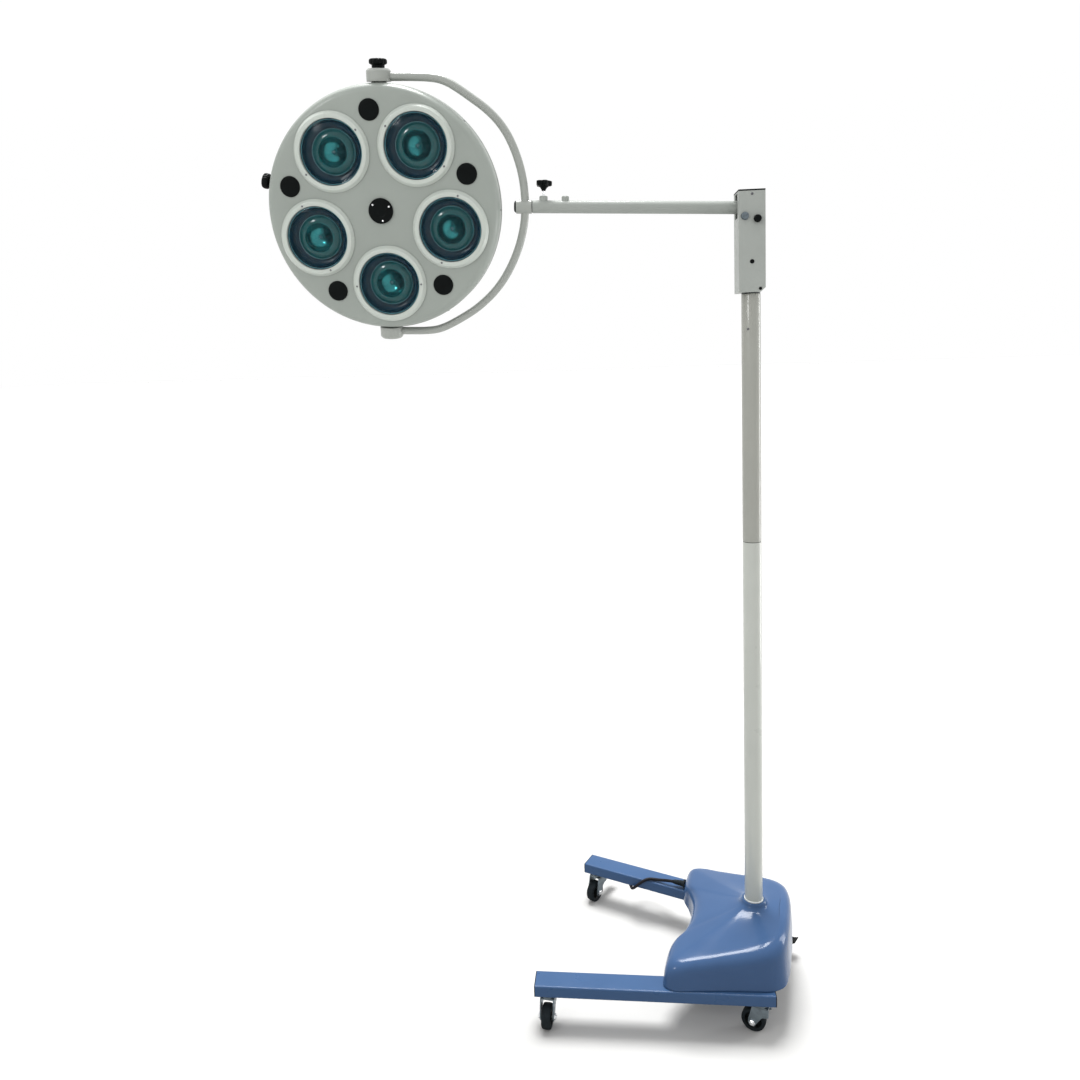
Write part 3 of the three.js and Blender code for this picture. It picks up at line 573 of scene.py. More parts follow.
def make_plug():
    place = COLUMN @ move(COIL_CENTRE.x + 31, COIL_CENTRE.y + 52.5, 13.4) @ TO_X
    bm = bmesh.new()
    sleeve = [(0, 0), (4.6, 0)]
    for i in range(4):
        z = 1.5 + 4.6 * i
        r = 4.9 + 0.35 * i
        sleeve += [(r, z), (r + 0.1, z + 3), (r - 0.7, z + 3.2), (r - 0.7, z + 4.4)]
    sleeve += [(6.3, 21), (9.2, 21.6), (11.4, 24.6), (12.9, 29), (13.1, 36), (12.5, 40), (13.1, 44),
               (13.1, 50.5), (12.3, 53.2), (11, 54), (0, 54)]
    add_turned(bm, sleeve, 48)
    body = finish_mesh(bm, "plug_body", place, RUBBER, sharp=50)
    place_piece(body, "base", "black_plastic", "mains_plug")
    bm = bmesh.new()
    for y in (-9.5, 9.5):
        add_turned(bm, [(0, 53.5), (2.4, 53.5), (2.4, 70), (1.9, 71.6), (1, 72), (0, 72)], 24, move(0, y, 0))
    pins = finish_mesh(bm, "plug_pins", place, CHROME)
    place_piece(pins, "base", "steel")
    return body, pins


def make_cord(plug_pieces):
    inner, angle = coil_points()
    points = [Vector(p) for p in CORD_ROUTE] + inner
    radius = COIL_RADII[-1]
    while angle > -COIL_TURNS * 2 * math.pi + math.pi / 2:
        points.append(COIL_CENTRE + polar(radius, angle, COIL_HIGH))
        angle -= 2 * math.pi / COIL_STEPS
    top = COIL_CENTRE + Vector((0, radius, COIL_HIGH))
    points += [top + Vector((0, 0, 0.2)), top + Vector((10, 0, 1)), top + Vector((20, 0, 2.2)),
               top + Vector((31.5, 0, 2.8))]
    cleaned = [points[0]]
    for point in points[1:]:
        if (point - cleaned[-1]).length > 4:
            cleaned.append(point)
    path = catmull(cleaned, 3)
    bm = bmesh.new()
    add_sweep(bm, path, CORD_R, 14)
    piece = finish_mesh(bm, "mains_lead", COLUMN, CORD_SKIN)
    place_piece(piece, "base", "black_rubber", "mains_cord", "cord_coil")
    return piece


make_cord(make_plug())
make_gland()
make_clips()
make_coil_tie()


# ---------------------------------------------------------------- base: legs, cover, foot
LEG_FRONT = Vector((-430, 232, 0))
LEG_REAR = Vector((49, 133.5, 0))
LEG_LENGTH = (LEG_REAR - LEG_FRONT).length
LEG_SPLAY = math.atan2(LEG_REAR.y - LEG_FRONT.y, LEG_REAR.x - LEG_FRONT.x) / DEG
LEG_WIDTH = 50
LEG_HEIGHT = 25
LEG_CORNER = 3.2
# Rings of a leg's end plug: how far it stands out, and the scale of the leg's section across and up.
PLUG_RINGS = ((0, 1, 1), (1.1, 1, 1), (1.5, 0.985, 0.97), (0.9, 0.9, 0.82))


def leg_frame(side):
    return COLUMN @ move(LEG_FRONT.x, side * LEG_FRONT.y, LEG_BOTTOM) @ turn(side * LEG_SPLAY)


def make_legs():
    section = rounded_rectangle(LEG_WIDTH, LEG_HEIGHT, LEG_CORNER)
    mid = LEG_HEIGHT / 2
    for name, side in (("left", -1), ("right", 1)):
        bm = bmesh.new()
        add_bar(bm, section, 0, LEG_LENGTH)
        tube = finish_mesh(bm, f"{name}_leg_tube", leg_frame(side), BLUE, sharp=40)
        place_piece(tube, "base", "blue_enamel", f"{name}_leg")
        for end, x, outward in (("front", -0.2, -1), ("rear", LEG_LENGTH + 0.2, 1)):
            bm = bmesh.new()
            rings = []
            for reach, across, up in PLUG_RINGS:
                rings.append([bm.verts.new((x + outward * reach, y * across, mid + (z - mid) * up))
                              for y, z in section])
            bm.faces.new(rings[0])
            bm.faces.new(rings[-1])
            join_rings(bm, rings)
            plug = finish_mesh(bm, f"{name}_leg_{end}_cap", leg_frame(side), BLACK, sharp=40)
            place_piece(plug, "base", "black_plastic", f"{name}_leg_{end}_plug")


# Outline of the cover from the front centre round to the rear centre, y >= 0:
# foot x, foot y, edge x, edge y, edge z.
COVER_OUTLINE = [
    (-139, 0, -136, 0, 155), (-142, 45, -139, 45, 154), (-154, 82, -150, 80, 150),
    (-169, 112, -164, 108, 147), (-172, 150, -167, 148, 146), (-168, 188, -162, 181, 146),
    (-148, 196, -144, 188, 147), (-98, 184, -97, 177, 153), (-45, 170, -44, 163, 162),
    (10, 157, 8, 149, 172), (47, 147, 38, 134, 178), (70, 127, 60, 113, 182),
    (78, 92, 71, 82, 186), (80, 45, 76, 42, 190), (81, 0, 77, 0, 191),
]
COVER_FILLET = 26
COVER_BOTTOM = 97.2
COVER_RING_TOP = 205
COVER_RING_R = 26


def closed_outline(pick):
    half = [pick(row) for row in COVER_OUTLINE]
    mirrored = [Vector((p.x, -p.y, p.z)) for p in reversed(half[1:-1])]
    return catmull(half + mirrored, 5, closed=True)


def cover_section(foot, edge):
    """One section of the cover, from the foot over the rounded edge to the column's ring."""
    inward = Vector((-edge.x, -edge.y, 0))
    reach = inward.length - COVER_RING_R
    inward.normalize()
    rise = COVER_RING_TOP - 12 - edge.z

    def on_top(share, drop):
        point = edge + inward * (share * reach)
        point.z = edge.z + rise * share - drop
        return point

    def wall(share, shift):
        return foot.lerp(edge, share) + inward * shift

    def on_ring(radius, z):
        return Vector((-inward.x * radius, -inward.y * radius, z))

    below = (foot - edge).normalized() * COVER_FILLET
    above = (on_top(1, 0) - edge).normalized() * COVER_FILLET

    def fillet(t, drop=0.0):
        return edge + below * (1 - t) ** 2 + above * t ** 2 - Vector((0, 0, drop))

    foot_lip = foot - inward * 0.2
    return [
        foot + inward * 1.2, foot_lip + Vector((0, 0, 1.2)), wall(0.06, 0), wall(0.2, 0), wall(0.4, 0),
        fillet(0), fillet(0.16), fillet(0.33), fillet(0.5), fillet(0.67), fillet(0.84), fillet(1),
        on_top(0.36, 0.9), on_top(0.5, 1.8), on_top(0.65, 2.2), on_top(0.78, 1.9),
        on_top(0.88, 0.8), on_top(0.95, -1.5), on_ring(COVER_RING_R + 2.2, COVER_RING_TOP - 8),
        on_ring(COVER_RING_R + 0.4, COVER_RING_TOP - 3.2), on_ring(COVER_RING_R - 1.2, COVER_RING_TOP - 0.8),
        on_ring(COVER_RING_R - 3.2, COVER_RING_TOP), on_ring(COVER_RING_R - 5, COVER_RING_TOP - 1.2),
        on_ring(19.8, COVER_RING_TOP - 4), on_ring(19.8, COVER_RING_TOP - 12), on_top(0.87, 5),
        on_top(0.5, 6), fillet(1, 4), fillet(0.5, 6), wall(0.25, 4.5), foot + inward * 3.4,
    ]


def make_cover():
    feet = closed_outline(lambda row: Vector((row[0], row[1], COVER_BOTTOM)))
    edges = closed_outline(lambda row: Vector((row[2], row[3], row[4])))
    bm = bmesh.new()
    rings = [[bm.verts.new(p) for p in cover_section(foot, edge)] for foot, edge in zip(feet, edges)]
    size = len(rings[0])
    for a, b in zip(rings, rings[1:] + rings[:1]):
        for j in range(size):
            k = (j + 1) % size
            bm.faces.new((a[j], b[j], b[k], a[k]))
    cover = finish_mesh(bm, "moulded_cover", COLUMN, COVER, sharp=180, levels=1)
    place_piece(cover, "base", "blue_cover", "base_cover")
    lip = rounded([(19.15, 196), (20.4, 196), (20.6, 205.2), (19.15, 206.2)], 0.5)
    grommet = turned("column_grommet", lip, COLUMN, GROMMET)
    place_piece(grommet, "base", "black_rubber")


# ---------------------------------------------------------------- castors
CASTOR_INSET = 25
AXLE = (16, 0, 25)
PEDAL_HINGE = (-12.5, 0, 50)


def castor_frame(leg_side, from_front, trail):
    along = CASTOR_INSET if from_front else LEG_LENGTH - CASTOR_INSET
    stem = LEG_FRONT + (LEG_REAR - LEG_FRONT).normalized() * along
    return COLUMN @ move(stem.x, leg_side * stem.y, 0) @ turn(trail)


def make_fork(name, place):
    bm = bmesh.new()
    race = [(0, 62), (14.5, 62), (16.6, 63.2), (17, 65), (17, 66.4), (15.6, 67), (15.6, 67.6), (17, 68.2),
            (17, 70.4), (16.4, 71.6), (0, 71.8)]
    add_turned(bm, race, 48)
    for side in (-1, 1):
        y0, y1 = sorted((side * 12.4, side * 14.9))
        outline = [(-17, 60.2), (-15.5, 62.6), (14.5, 62.6), (16.4, 61), (20.6, 46), (24.6, 31), (24.9, 25),
                   (23.4, 19.4), (19.6, 17.1), (13.6, 17), (10.6, 19), (5.4, 27.6), (-1.6, 38), (-6, 41.4),
                   (-14.6, 43), (-17, 45)]
        add_slab(bm, outline, y0, y1)
    add_slab(bm, [(-16.6, 59.8), (-16.6, 63), (16, 63), (16, 59.8)], -14.9, 14.9)
    fork = finish_mesh(bm, f"{name}_fork_body", place, ZINC, sharp=40, bevel=0.7)
    place_piece(fork, f"{name}_fork", "zinc_plate", f"{name}_castor_fork")
    bm = bmesh.new()
    at_axle = move(*AXLE)
    add_hexagon(bm, 11, 14.9, 18, at_axle @ TO_Y)
    add_turned(bm, [(0, 18), (3.2, 18), (3.2, 19.4), (2.6, 20), (0, 20)], 24, at_axle @ TO_Y)
    add_hexagon(bm, 11, 14.9, 19, at_axle @ TO_Y @ turn(180, "X"))
    add_turned(bm, [(0, -15), (4, -15), (4, 15), (0, 15)], 32, at_axle @ TO_Y)
    bolts = finish_mesh(bm, f"{name}_axle_bolt", place, CHROME, sharp=35)
    place_piece(bolts, f"{name}_fork", "zinc_plate")


def make_wheel(name, place):
    at_axle = place @ move(*AXLE) @ TO_Y
    tyre = [(17.6, -8.6), (19, -9.3), (21.6, -9.6), (23.6, -8.6), (24.7, -6.4), (24.95, -3.2), (25, 0),
            (24.95, 3.2), (24.7, 6.4), (23.6, 8.6), (21.6, 9.6), (19, 9.3), (17.6, 8.6)]
    piece = turned(f"{name}_tyre", tyre, at_axle, RUBBER, 96, sharp=60)
    place_piece(piece, f"{name}_wheel", "black_rubber", f"{name}_castor_wheel")
    bm = bmesh.new()
    hub = [(4.2, -9.9), (7.6, -9.9), (8.2, -9.3), (8.4, -7), (10, -5.6), (15, -5.2), (16.6, -7), (17.7, -7.6),
           (17.7, 7.6), (16.6, 7), (15, 5.2), (10, 5.6), (8.4, 7), (8.2, 9.3), (7.6, 9.9), (4.2, 9.9)]
    add_turned(bm, hub, 64)
    for k in range(6):
        spin = turn(60 * k)
        for side in (-1, 1):
            z0, z1 = sorted((side * 5, side * 7.4))
            add_block(bm, 8, 16.8, -0.9, 0.9, z0, z1, spin)
    piece = finish_mesh(bm, f"{name}_hub", at_axle, BLACK, sharp=35)
    place_piece(piece, f"{name}_wheel", "black_plastic")


PEDAL_OUTLINE = [
    (4, 3.4), (-2, 3.6), (-7.5, 3.3), (-13, -0.6), (-19, -6), (-26, -10.2), (-33, -12), (-39, -12.4),
    (-45, -11.6), (-50, -9.6), (-53, -8), (-54, -9), (-53.4, -11.4), (-49, -14.6), (-45, -16.8),
    (-38.5, -17.2), (-32, -16.8), (-24, -14.2), (-17, -11), (-11, -7.2), (-6, -4), (0, -3.8), (4, -3.8),
]


def make_pedal(name, place):
    at_hinge = place @ move(*PEDAL_HINGE)
    bm = bmesh.new()
    add_slab(bm, PEDAL_OUTLINE, -11, 11)
    for k in range(4):
        x = -36 - 3.6 * k
        add_block(bm, x - 0.8, x + 0.8, -8.5, 8.5, -12.8 + 0.25 * k, -11.2 + 0.35 * k)
    piece = finish_mesh(bm, f"{name}_pedal_plate", at_hinge, BLACK, sharp=38, bevel=0.9)
    place_piece(piece, f"{name}_pedal", "black_plastic", f"{name}_castor_pedal")
    profile = [(0, -14.4), (1.8, -14.4), (2.4, -13.8), (2.4, 13.8), (1.8, 14.4), (0, 14.4)]
    pin = turned(f"{name}_pedal_pin", profile, at_hinge @ TO_Y, CHROME, 24)
    place_piece(pin, f"{name}_pedal", "zinc_plate")


def make_castors():
    castors = (("front_left", -1, True, -84, False), ("rear_left", -1, False, 170, False),
               ("front_right", 1, True, -112, True), ("rear_right", 1, False, 162, True))
    for name, side, from_front, trail, braked in castors:
        place = castor_frame(side, from_front, trail)
        make_fork(name, place)
        make_wheel(name, place)
        if braked:
            make_pedal(name, place)


# ---------------------------------------------------------------- column and its head box
def make_column():
    lower = [(17, 97), (18.6, 96.2), (19, 97), (19, 995.2), (18.7, 996.4), (18, 997), (17, 997)]
    piece = turned("lower_tube", lower, COLUMN, COLUMN_WHITE, 96)
    place_piece(piece, "base", "white_enamel", "lower_column")
    upper = [(17, 997.6), (18, 997.6), (18.7, 998.2), (19, 999.4), (19, 1501.4), (18.6, 1502.6), (17.4, 1503),
             (16.8, 1503)]
    piece = turned("upper_tube", upper, COLUMN, UPPER_WHITE, 96)
    place_piece(piece, "base", "white_enamel", "upper_column")
    seam = turned("column_seam", [(16.8, 994), (18.3, 996), (18.3, 998.6), (16.8, 1000)], COLUMN, SEAM, 64)
    place_piece(seam, "base", "black_rubber")
    at_screw = [turn(-104) @ move(19, 0, 1433) @ TO_X]
    screws("column_screw", 2.4, at_screw, COLUMN, "base", SCREW)


BOX_SIDE = 28.1


def make_head_box():
    recolor("head_box", BOX_WHITE, 0.9, 3)
    recolor("box_cap", CAP, 0.8, 3)
    side = BOX @ move(0, -BOX_SIDE, 0) @ turn(90, "X")
    bm = bmesh.new()
    head = move(PIVOT[0], PIVOT[2], 0)
    add_turned(bm, [(0, 0), (7.6, 0), (7.8, 0.6), (7.8, 2.2), (7.5, 2.8), (0, 2.8)], 48, head)
    for half in (0, 180):
        outline = arc(7.3, 10 * DEG, 160 * DEG, 16)
        place = head @ turn(half + 32)
        low = [bm.verts.new(place @ Vector((x, y, 2.6))) for x, y in outline]
        high = [bm.verts.new(place @ Vector((x * 0.93, 0.4 + (y - 0.4) * 0.95, 5))) for x, y in outline]
        bm.faces.new(high)
        join_rings(bm, [low, high])
    far = BOX @ move(PIVOT[0], BOX_SIDE, PIVOT[2]) @ TO_Y
    near_bolt = finish_mesh(bm, "pivot_bolt_head", side, ZINC, sharp=35)
    place_piece(near_bolt, "column_head", "steel", "arm_pivot_bolt")
    bm = bmesh.new()
    add_hexagon(bm, 13, 0, 5)
    add_turned(bm, [(0, -56.4), (4, -56.4), (4, 0), (0, 0)], 32)
    place_piece(finish_mesh(bm, "pivot_bolt_nut", far, ZINC, sharp=35), "column_head", "steel")
    small = bmesh.new()
    add_cross_screw(small, 2.6, move(-1.6, 1693.8, 0))
    place_piece(finish_mesh(small, "box_small_screw", side, SCREW, sharp=40), "column_head", "steel")
    plug = bmesh.new()
    add_turned(plug, [(0, 0), (4.3, 0), (4.2, 0.8), (3.2, 1.5), (0, 1.7)], 32, move(-2.2, 1564.3, 0))
    add_turned(plug, [(0, 0), (3.2, 0), (3, 0.8), (2.2, 1.4), (0, 1.5)], 32, move(13.7, 1511.5, 0))
    place_piece(finish_mesh(plug, "box_hole_plugs", side, BLACK, sharp=40), "column_head", "black_plastic")
    profile = [(16.8, 1502.6), (18.4, 1502.8), (18.4, 1505), (16.8, 1505.2)]
    collar = turned("column_collar", profile, COLUMN, SEAM, 64)
    place_piece(collar, "column_head", "black_rubber")
    bm = bmesh.new()
    coils, per_coil = 14, 16
    points = []
    for i in range(coils * per_coil + 1):
        angle = 2 * math.pi * i / per_coil
        rise = 1532 + 88 * i / (coils * per_coil)
        points.append(Vector((8 + 7.5 * math.cos(angle), 7.5 * math.sin(angle), rise)))
    add_sweep(bm, points, 1.4, 8)
    place_piece(finish_mesh(bm, "wound_spring", BOX, STEEL), "column_head", "steel", "balance_spring")


def make_brake_knob():
    profile = [(0, 41.2, 0), (4.4, 41.2, 0), (6.2, 40.6, 0.3), (7.4, 39.2, 1), (7.8, 37.6, 1), (7.8, 32.6, 1),
               (7.2, 31.2, 0.6), (5.2, 30.2, 0), (4.8, 28.4, 0), (0, 28.4, 0)]
    bm = bmesh.new()
    add_fluted(bm, profile, 16, 0.8, 96)
    place = BOX @ move(7.6, 0, 1645.5) @ turn(90, "X")
    knob = finish_mesh(bm, "brake_knob_grip", place, BLACK, sharp=50)
    place_piece(knob, "arm_brake", "black_plastic", "arm_brake_knob")


# ---------------------------------------------------------------- arm
ARM_SEAM = -418
ARM_R = 12.6
ARM_BOSS_HEIGHT = 8
LOCK_X = -396.4
SMALL_BOSS_X = -352.5


def make_arm():
    bm = bmesh.new()
    along = move(0, 0, ARM_RISE) @ TO_X
    add_turned(bm, [(10.5, ARM_SEAM + 0.6), (11.2, ARM_SEAM), (12, ARM_SEAM), (ARM_R, ARM_SEAM + 1),
                    (ARM_R, -12), (12, -11), (0, -11), (0, -25), (10.5, -25)], 72, along)
    top = ARM_RISE + ARM_R + ARM_BOSS_HEIGHT
    for x, radius in ((LOCK_X, 8.3), (SMALL_BOSS_X, 7.4)):
        boss = [(0, ARM_RISE), (radius, ARM_RISE), (radius, top - 6.2), (radius, top - 1),
                (radius - 0.9, top), (radius - 3.2, top), (radius - 3.8, top - 0.8), (0, top - 0.8)]
        add_turned(bm, boss, 48, move(x, 0, 0))
    tube = finish_mesh(bm, "arm_barrel", ARM, ARM_WHITE, sharp=38)
    place_piece(tube, "arm", "white_enamel", "arm_tube")
    bm = bmesh.new()
    add_slab(bm, [(-20, 14), (-7, 14), (-7, -9), (10, -9), (18, 0), (14, 31), (-20, 31)], -9, 9)
    bracket = finish_mesh(bm, "arm_bracket", ARM, ARM_WHITE, sharp=38, bevel=1.2)
    place_piece(bracket, "arm", "white_enamel")
    seam = turned("arm_seam", [(10.2, ARM_SEAM - 1.4), (11.6, ARM_SEAM - 1.4), (11.6, ARM_SEAM + 0.4),
                               (10.2, ARM_SEAM + 0.4)], ARM @ along, SEAM, 64)
    place_piece(seam, "arm", "black_rubber")


def make_lock_knob():
    foot = ARM_RISE + ARM_R + ARM_BOSS_HEIGHT + 0.2
    place = ARM @ move(LOCK_X, 0, 0)
    stem = [(0, foot - 6), (2, foot - 6), (2, foot), (3.4, foot), (3.4, foot + 1.2), (2.3, foot + 1.6),
            (2.3, foot + 12), (0, foot + 12)]
    place_piece(turned("lock_stem", stem, place, CHROME, 32), "arm_lock", "steel")
    bm = bmesh.new()
    add_turned(bm, [(0, foot + 10), (3.4, foot + 10), (4.6, foot + 12.6), (7, foot + 16.6), (12, foot + 20.4),
                    (12, foot + 21.4), (0, foot + 21.4)], 48)
    # The star's rings: share of its full radius, and height.
    star = ((0.9, 19.7), (1.0, 21), (1.0, 28.2), (0.95, 29.4), (0.8, 30), (0.4, 30), (0.33, 29.4))
    sides = 100
    rings = [[bm.verts.new((0, 0, foot + 19.6))]]
    for share, height in star:
        ring = []
        for i in range(sides):
            angle = 2 * math.pi * i / sides
            radius = (14.4 + 2.2 * math.cos(5 * angle)) * share
            ring.append(bm.verts.new(polar(radius, angle, foot + height)))
        rings.append(ring)
    rings.append([bm.verts.new((0, 0, foot + 29.2))])
    join_rings(bm, rings)
    knob = finish_mesh(bm, "lock_star", place, BLACK, sharp=45)
    place_piece(knob, "arm_lock", "black_plastic", "arm_lock_knob")


# ---------------------------------------------------------------- yoke
# Centre line of the bow: x and z from the head's centre.
YOKE_BOW = [
    (12, 249), (60, 248.8), (95, 247.6), (117.6, 244.6), (136.8, 237.6), (155.8, 226.8), (176, 213.5),
    (206, 192.5), (229, 171.5), (247, 148.2), (259.1, 125.9), (268.4, 103.5), (275.6, 80.8), (280.6, 58.1),
    (283.6, 35.1), (285, 6.6), (283.2, -23.1), (279, -46.7), (272.6, -70.6), (263.6, -94.6), (252, -118.9),
    (237.2, -143.3), (217.4, -168.1), (193, -191.2), (176, -204.4), (152, -219.6), (127, -233.6),
    (112, -240.4), (97, -245.2), (74, -248), (45, -248.8), (12, -249),
]


def make_yoke():
    bm = bmesh.new()
    add_sweep(bm, catmull([(x, 0, z) for x, z in YOKE_BOW], 5), 8, 32)
    boss = rounded([(7.4, 240), (23.6, 240), (24, 240.8), (24, 259.5), (20.5, 263.6), (14, 264),
                    (7.4, 264)], 1.2)
    add_turned(bm, boss, 96)
    add_turned(bm, boss, 96, turn(180, "X"))
    hub = rounded([(0, 267), (13.4, 267), (13.8, 268), (13.8, 297.4), (13, 298.6), (0, 298.6)], 0.7)
    add_turned(bm, hub, 72, move(0, 0, HEAD_DROP) @ TO_X)
    bow = finish_mesh(bm, "yoke_bow", YOKE, YOKE_WHITE, sharp=40)
    place_piece(bow, "yoke", "white_enamel", "yoke_frame")
    shaft = turned("yoke_shaft", [(0, 297), (10, 297), (10, 360), (9, 362), (0, 362)], HUB @ TO_X, STEEL, 48)
    place_piece(shaft, "yoke", "steel")
    cap = [(0, 262.9), (8.2, 262.9), (9.6, 263.4), (11, 264.6), (11.5, 266), (11.5, 266.8), (0, 266.8)]
    place_piece(turned("hub_cap", cap, HUB @ TO_X, BLACK, 64), "yoke", "black_plastic", "hub_end_cap")
    lower_cap = turned("lower_boss_cap", [(0, 262), (7.2, 262), (7.2, 264), (6.4, 265), (0, 265.2)],
                       YOKE @ turn(180, "X"), YOKE_WHITE, 48)
    place_piece(lower_cap, "yoke", "white_enamel")


def make_top_knob():
    foot = 264.2
    profile = [(0, foot, 0), (11, foot, 0), (12.1, foot + 0.6, 0), (12.5, foot + 1.6, 0.4),
               (12.5, foot + 5, 0.4), (13.4, foot + 6, 0), (15.6, foot + 6.9, 0.4), (17.2, foot + 8.2, 1),
               (17.6, foot + 9.8, 1),
               (17.6, foot + 13.4, 1), (17, foot + 15, 1), (15.4, foot + 16.6, 0.3), (13, foot + 17.2, 0),
               (7, foot + 17.8, 0), (0, foot + 18, 0)]
    bm = bmesh.new()
    add_fluted(bm, profile, 12, 1.5, 144)
    knob = finish_mesh(bm, "head_brake_grip", YOKE, BLACK, sharp=50)
    place_piece(knob, "head_brake", "black_plastic", "top_brake_knob")


# ---------------------------------------------------------------- lamp head
HEAD_R = 238
FACE_Z = 36
PATTERN_TURN = 4.1
LENS_CIRCLE = 144.8
VENT_CIRCLE = 189.4
LENS_HOLE_R = 65
HOLE_SIDES = 64
LENS_RISE = 14
FOCUS_ANGLE = 167.3


def around(radius, start):
    places = []
    for i in range(5):
        angle = (start + PATTERN_TURN + 72 * i) * DEG
        places.append(polar(radius, angle))
    return places


LAMP_PLACES = around(LENS_CIRCLE, -90)
VENT_PLACES = around(VENT_CIRCLE, 90)


def circle(bm, radius, centre, z, sides):
    verts = []
    for i in range(sides):
        angle = 2 * math.pi * i / sides
        x = centre.x + radius * math.cos(angle)
        y = centre.y + radius * math.sin(angle)
        verts.append(bm.verts.new((x, y, z)))
    return verts


def make_head_shells():
    bm = bmesh.new()
    sides = 160
    rim = [(221, 36), (224, 35.75), (227, 35), (230, 33.5), (232.4, 31.6), (234.4, 28.6), (236.2, 24.6),
           (237.4, 20.6), (238, 16), (238, 3), (237.5, 1.8), (236.4, 1.2), (235, 1.2)]
    rings = [circle(bm, radius, Vector((0, 0, 0)), z, sides) for radius, z in rim]
    join_rings(bm, rings)
    edges = [bm.edges.get((rings[0][i], rings[0][(i + 1) % sides])) for i in range(sides)]
    for place in LAMP_PLACES:
        hole = circle(bm, LENS_HOLE_R, place, FACE_Z, HOLE_SIDES)
        lip = circle(bm, LENS_HOLE_R, place, FACE_Z - 2, HOLE_SIDES)
        for i in range(HOLE_SIDES):
            j = (i + 1) % HOLE_SIDES
            edges.append(bm.edges.new((hole[i], hole[j])))
            bm.faces.new((hole[i], hole[j], lip[j], lip[i]))
    bmesh.ops.triangle_fill(bm, use_beauty=True, edges=edges)
    front = finish_mesh(bm, "head_front", FACE, WHITE, sharp=34)
    place_piece(front, "lamp_head", "white_shell", "front_shell")
    rear = [(235, -3.6), (236.4, -3.6), (237.5, -4.2), (238, -5.2), (238, -11), (237, -16), (233, -24),
            (225, -32.5), (208, -44), (182, -56.4), (150, -68.4), (136, -72.4), (133, -71.4), (130, -74),
            (110, -77.6), (70, -81.8), (64, -81), (61, -82.4), (0, -84)]
    piece = turned("head_back", rear, FACE, WHITE, sides, sharp=34)
    place_piece(piece, "lamp_head", "white_shell", "rear_shell")
    gasket = turned("head_seam", [(232, -4.2), (236.6, -4.2), (236.6, 2), (232, 2)], FACE, SEAM, sides)
    place_piece(gasket, "lamp_head", "black_rubber")
    rim_places = []
    for angle in (115, -121.6, 0.4, 45, -58, 178):
        rim_places.append(turn(angle) @ move(HEAD_R - 0.2, 0, 9) @ TO_X)
    screws("rim_screws", 2.3, rim_places, FACE, "lamp_head", SCREW)


def make_bezels():
    profile = rounded([(63.2, 34), (63.2, 43.4), (64.2, 44.3), (69, 44.3), (71.6, 44), (73.8, 41),
                       (76.4, 38.2), (77, 36.3), (66, 36.3), (64.8, 34)], 1.0)
    screw_angles = ((-175.4, 0.8), (75.1, -106.3), (147.7, -34), (37.9, -141.2), (112.2, -69.3))
    places = []
    for i, place in enumerate(LAMP_PLACES):
        at_lamp = FACE @ move(*place)
        bezel = turned(f"bezel_ring_{i + 1}", profile, at_lamp, BEZEL, 112, sharp=38)
        place_piece(bezel, "lamp_head", "white_bezel", f"bezel_{i + 1}")
        for angle in screw_angles[i]:
            places.append(move(*place) @ turn(angle) @ move(67.4, 0, 44.1))
    screws("bezel_screws", 2.1, places, FACE, "lamp_head", SCREW)


def make_optics():
    """Behind each filter glass: a well painted dark navy as a painted reflection of the reflector's inner
    wall, thin light rings as painted highlights, a cemented lens in it, and the bulb's polished bowl.
    """
    for i, place in enumerate(LAMP_PLACES):
        at_lamp = FACE @ move(*place)
        at_lens = at_lamp @ move(0, 0, LENS_RISE)
        glass = [(0, 38.2), (62, 38.2), (62.8, 38.8), (62.8, 40.4), (62, 41), (0, 41)]
        piece = turned(f"glass_{i + 1}", glass, at_lamp, GLASS, 96, sharp=60)
        place_piece(piece, "lamp_head", "filter_glass", f"filter_glass_{i + 1}")
        # The well's dark navy colour is a painted reflection of the reflector's inner wall.
        well = [(62.9, 38), (61.8, 37.6), (60.6, 35), (59.4, 30), (57, 24), (53, 20), (48.6, 18.4),
                (46, 18), (45, 16), (62.9, 16)]
        piece = turned(f"lamp_well_{i + 1}", well, at_lamp, WELL_PAINTED_REFLECTION, 96, sharp=30)
        place_piece(piece, "lamp_head", "reflector")
        # Thin rings coloured light as painted highlights at the glass rim and the lens edge.
        lines = bmesh.new()
        add_turned(lines, [(60.9, 36.4), (61.6, 37.6), (60.8, 38), (60.2, 37)], 96)
        add_turned(lines, [(43.2, 18), (44.6, 18), (44.6, 22.2), (43.9, 23.4), (43.2, 23)], 96)
        place_piece(finish_mesh(lines, f"lamp_rim_painted_highlight_{i + 1}", at_lamp, RIM_PAINTED_HIGHLIGHT), "lamp_head", "reflector")
        lens = [(43.4, 3), (43.4, 8), (41.8, 10.4), (37.5, 13), (33, 14.6), (30.4, 15.2), (29.6, 15),
                (29, 13.6), (29, 3)]
        piece = turned(f"lens_ring_{i + 1}", lens, at_lens, TEAL, 96, sharp=30)
        place_piece(piece, "lamp_head", "reflector")
        bowl = [(29.2, 13.4), (28.2, 13.9), (27.2, 12.6), (25.2, 8.2), (21.5, 3.2), (16.5, -0.8), (11, -3.2),
                (6.5, -4.2), (0, -4.4), (0, -6), (29.2, -6)]
        piece = turned(f"bulb_bowl_{i + 1}", bowl, at_lens, BOWL, 96, sharp=50)
        nodes = ("reflector_tray",) if i == 0 else ()
        place_piece(piece, "lamp_head", "reflector", *nodes)
        bulb = [(0, -4.4), (5.6, -4.2), (6.2, 0), (6, 4), (4.8, 7.4), (2.6, 9.6), (0, 10.4)]
        piece = turned(f"bulb_{i + 1}", bulb, at_lens, BULB, 40, sharp=70)
        place_piece(piece, "lamp_head", "reflector")


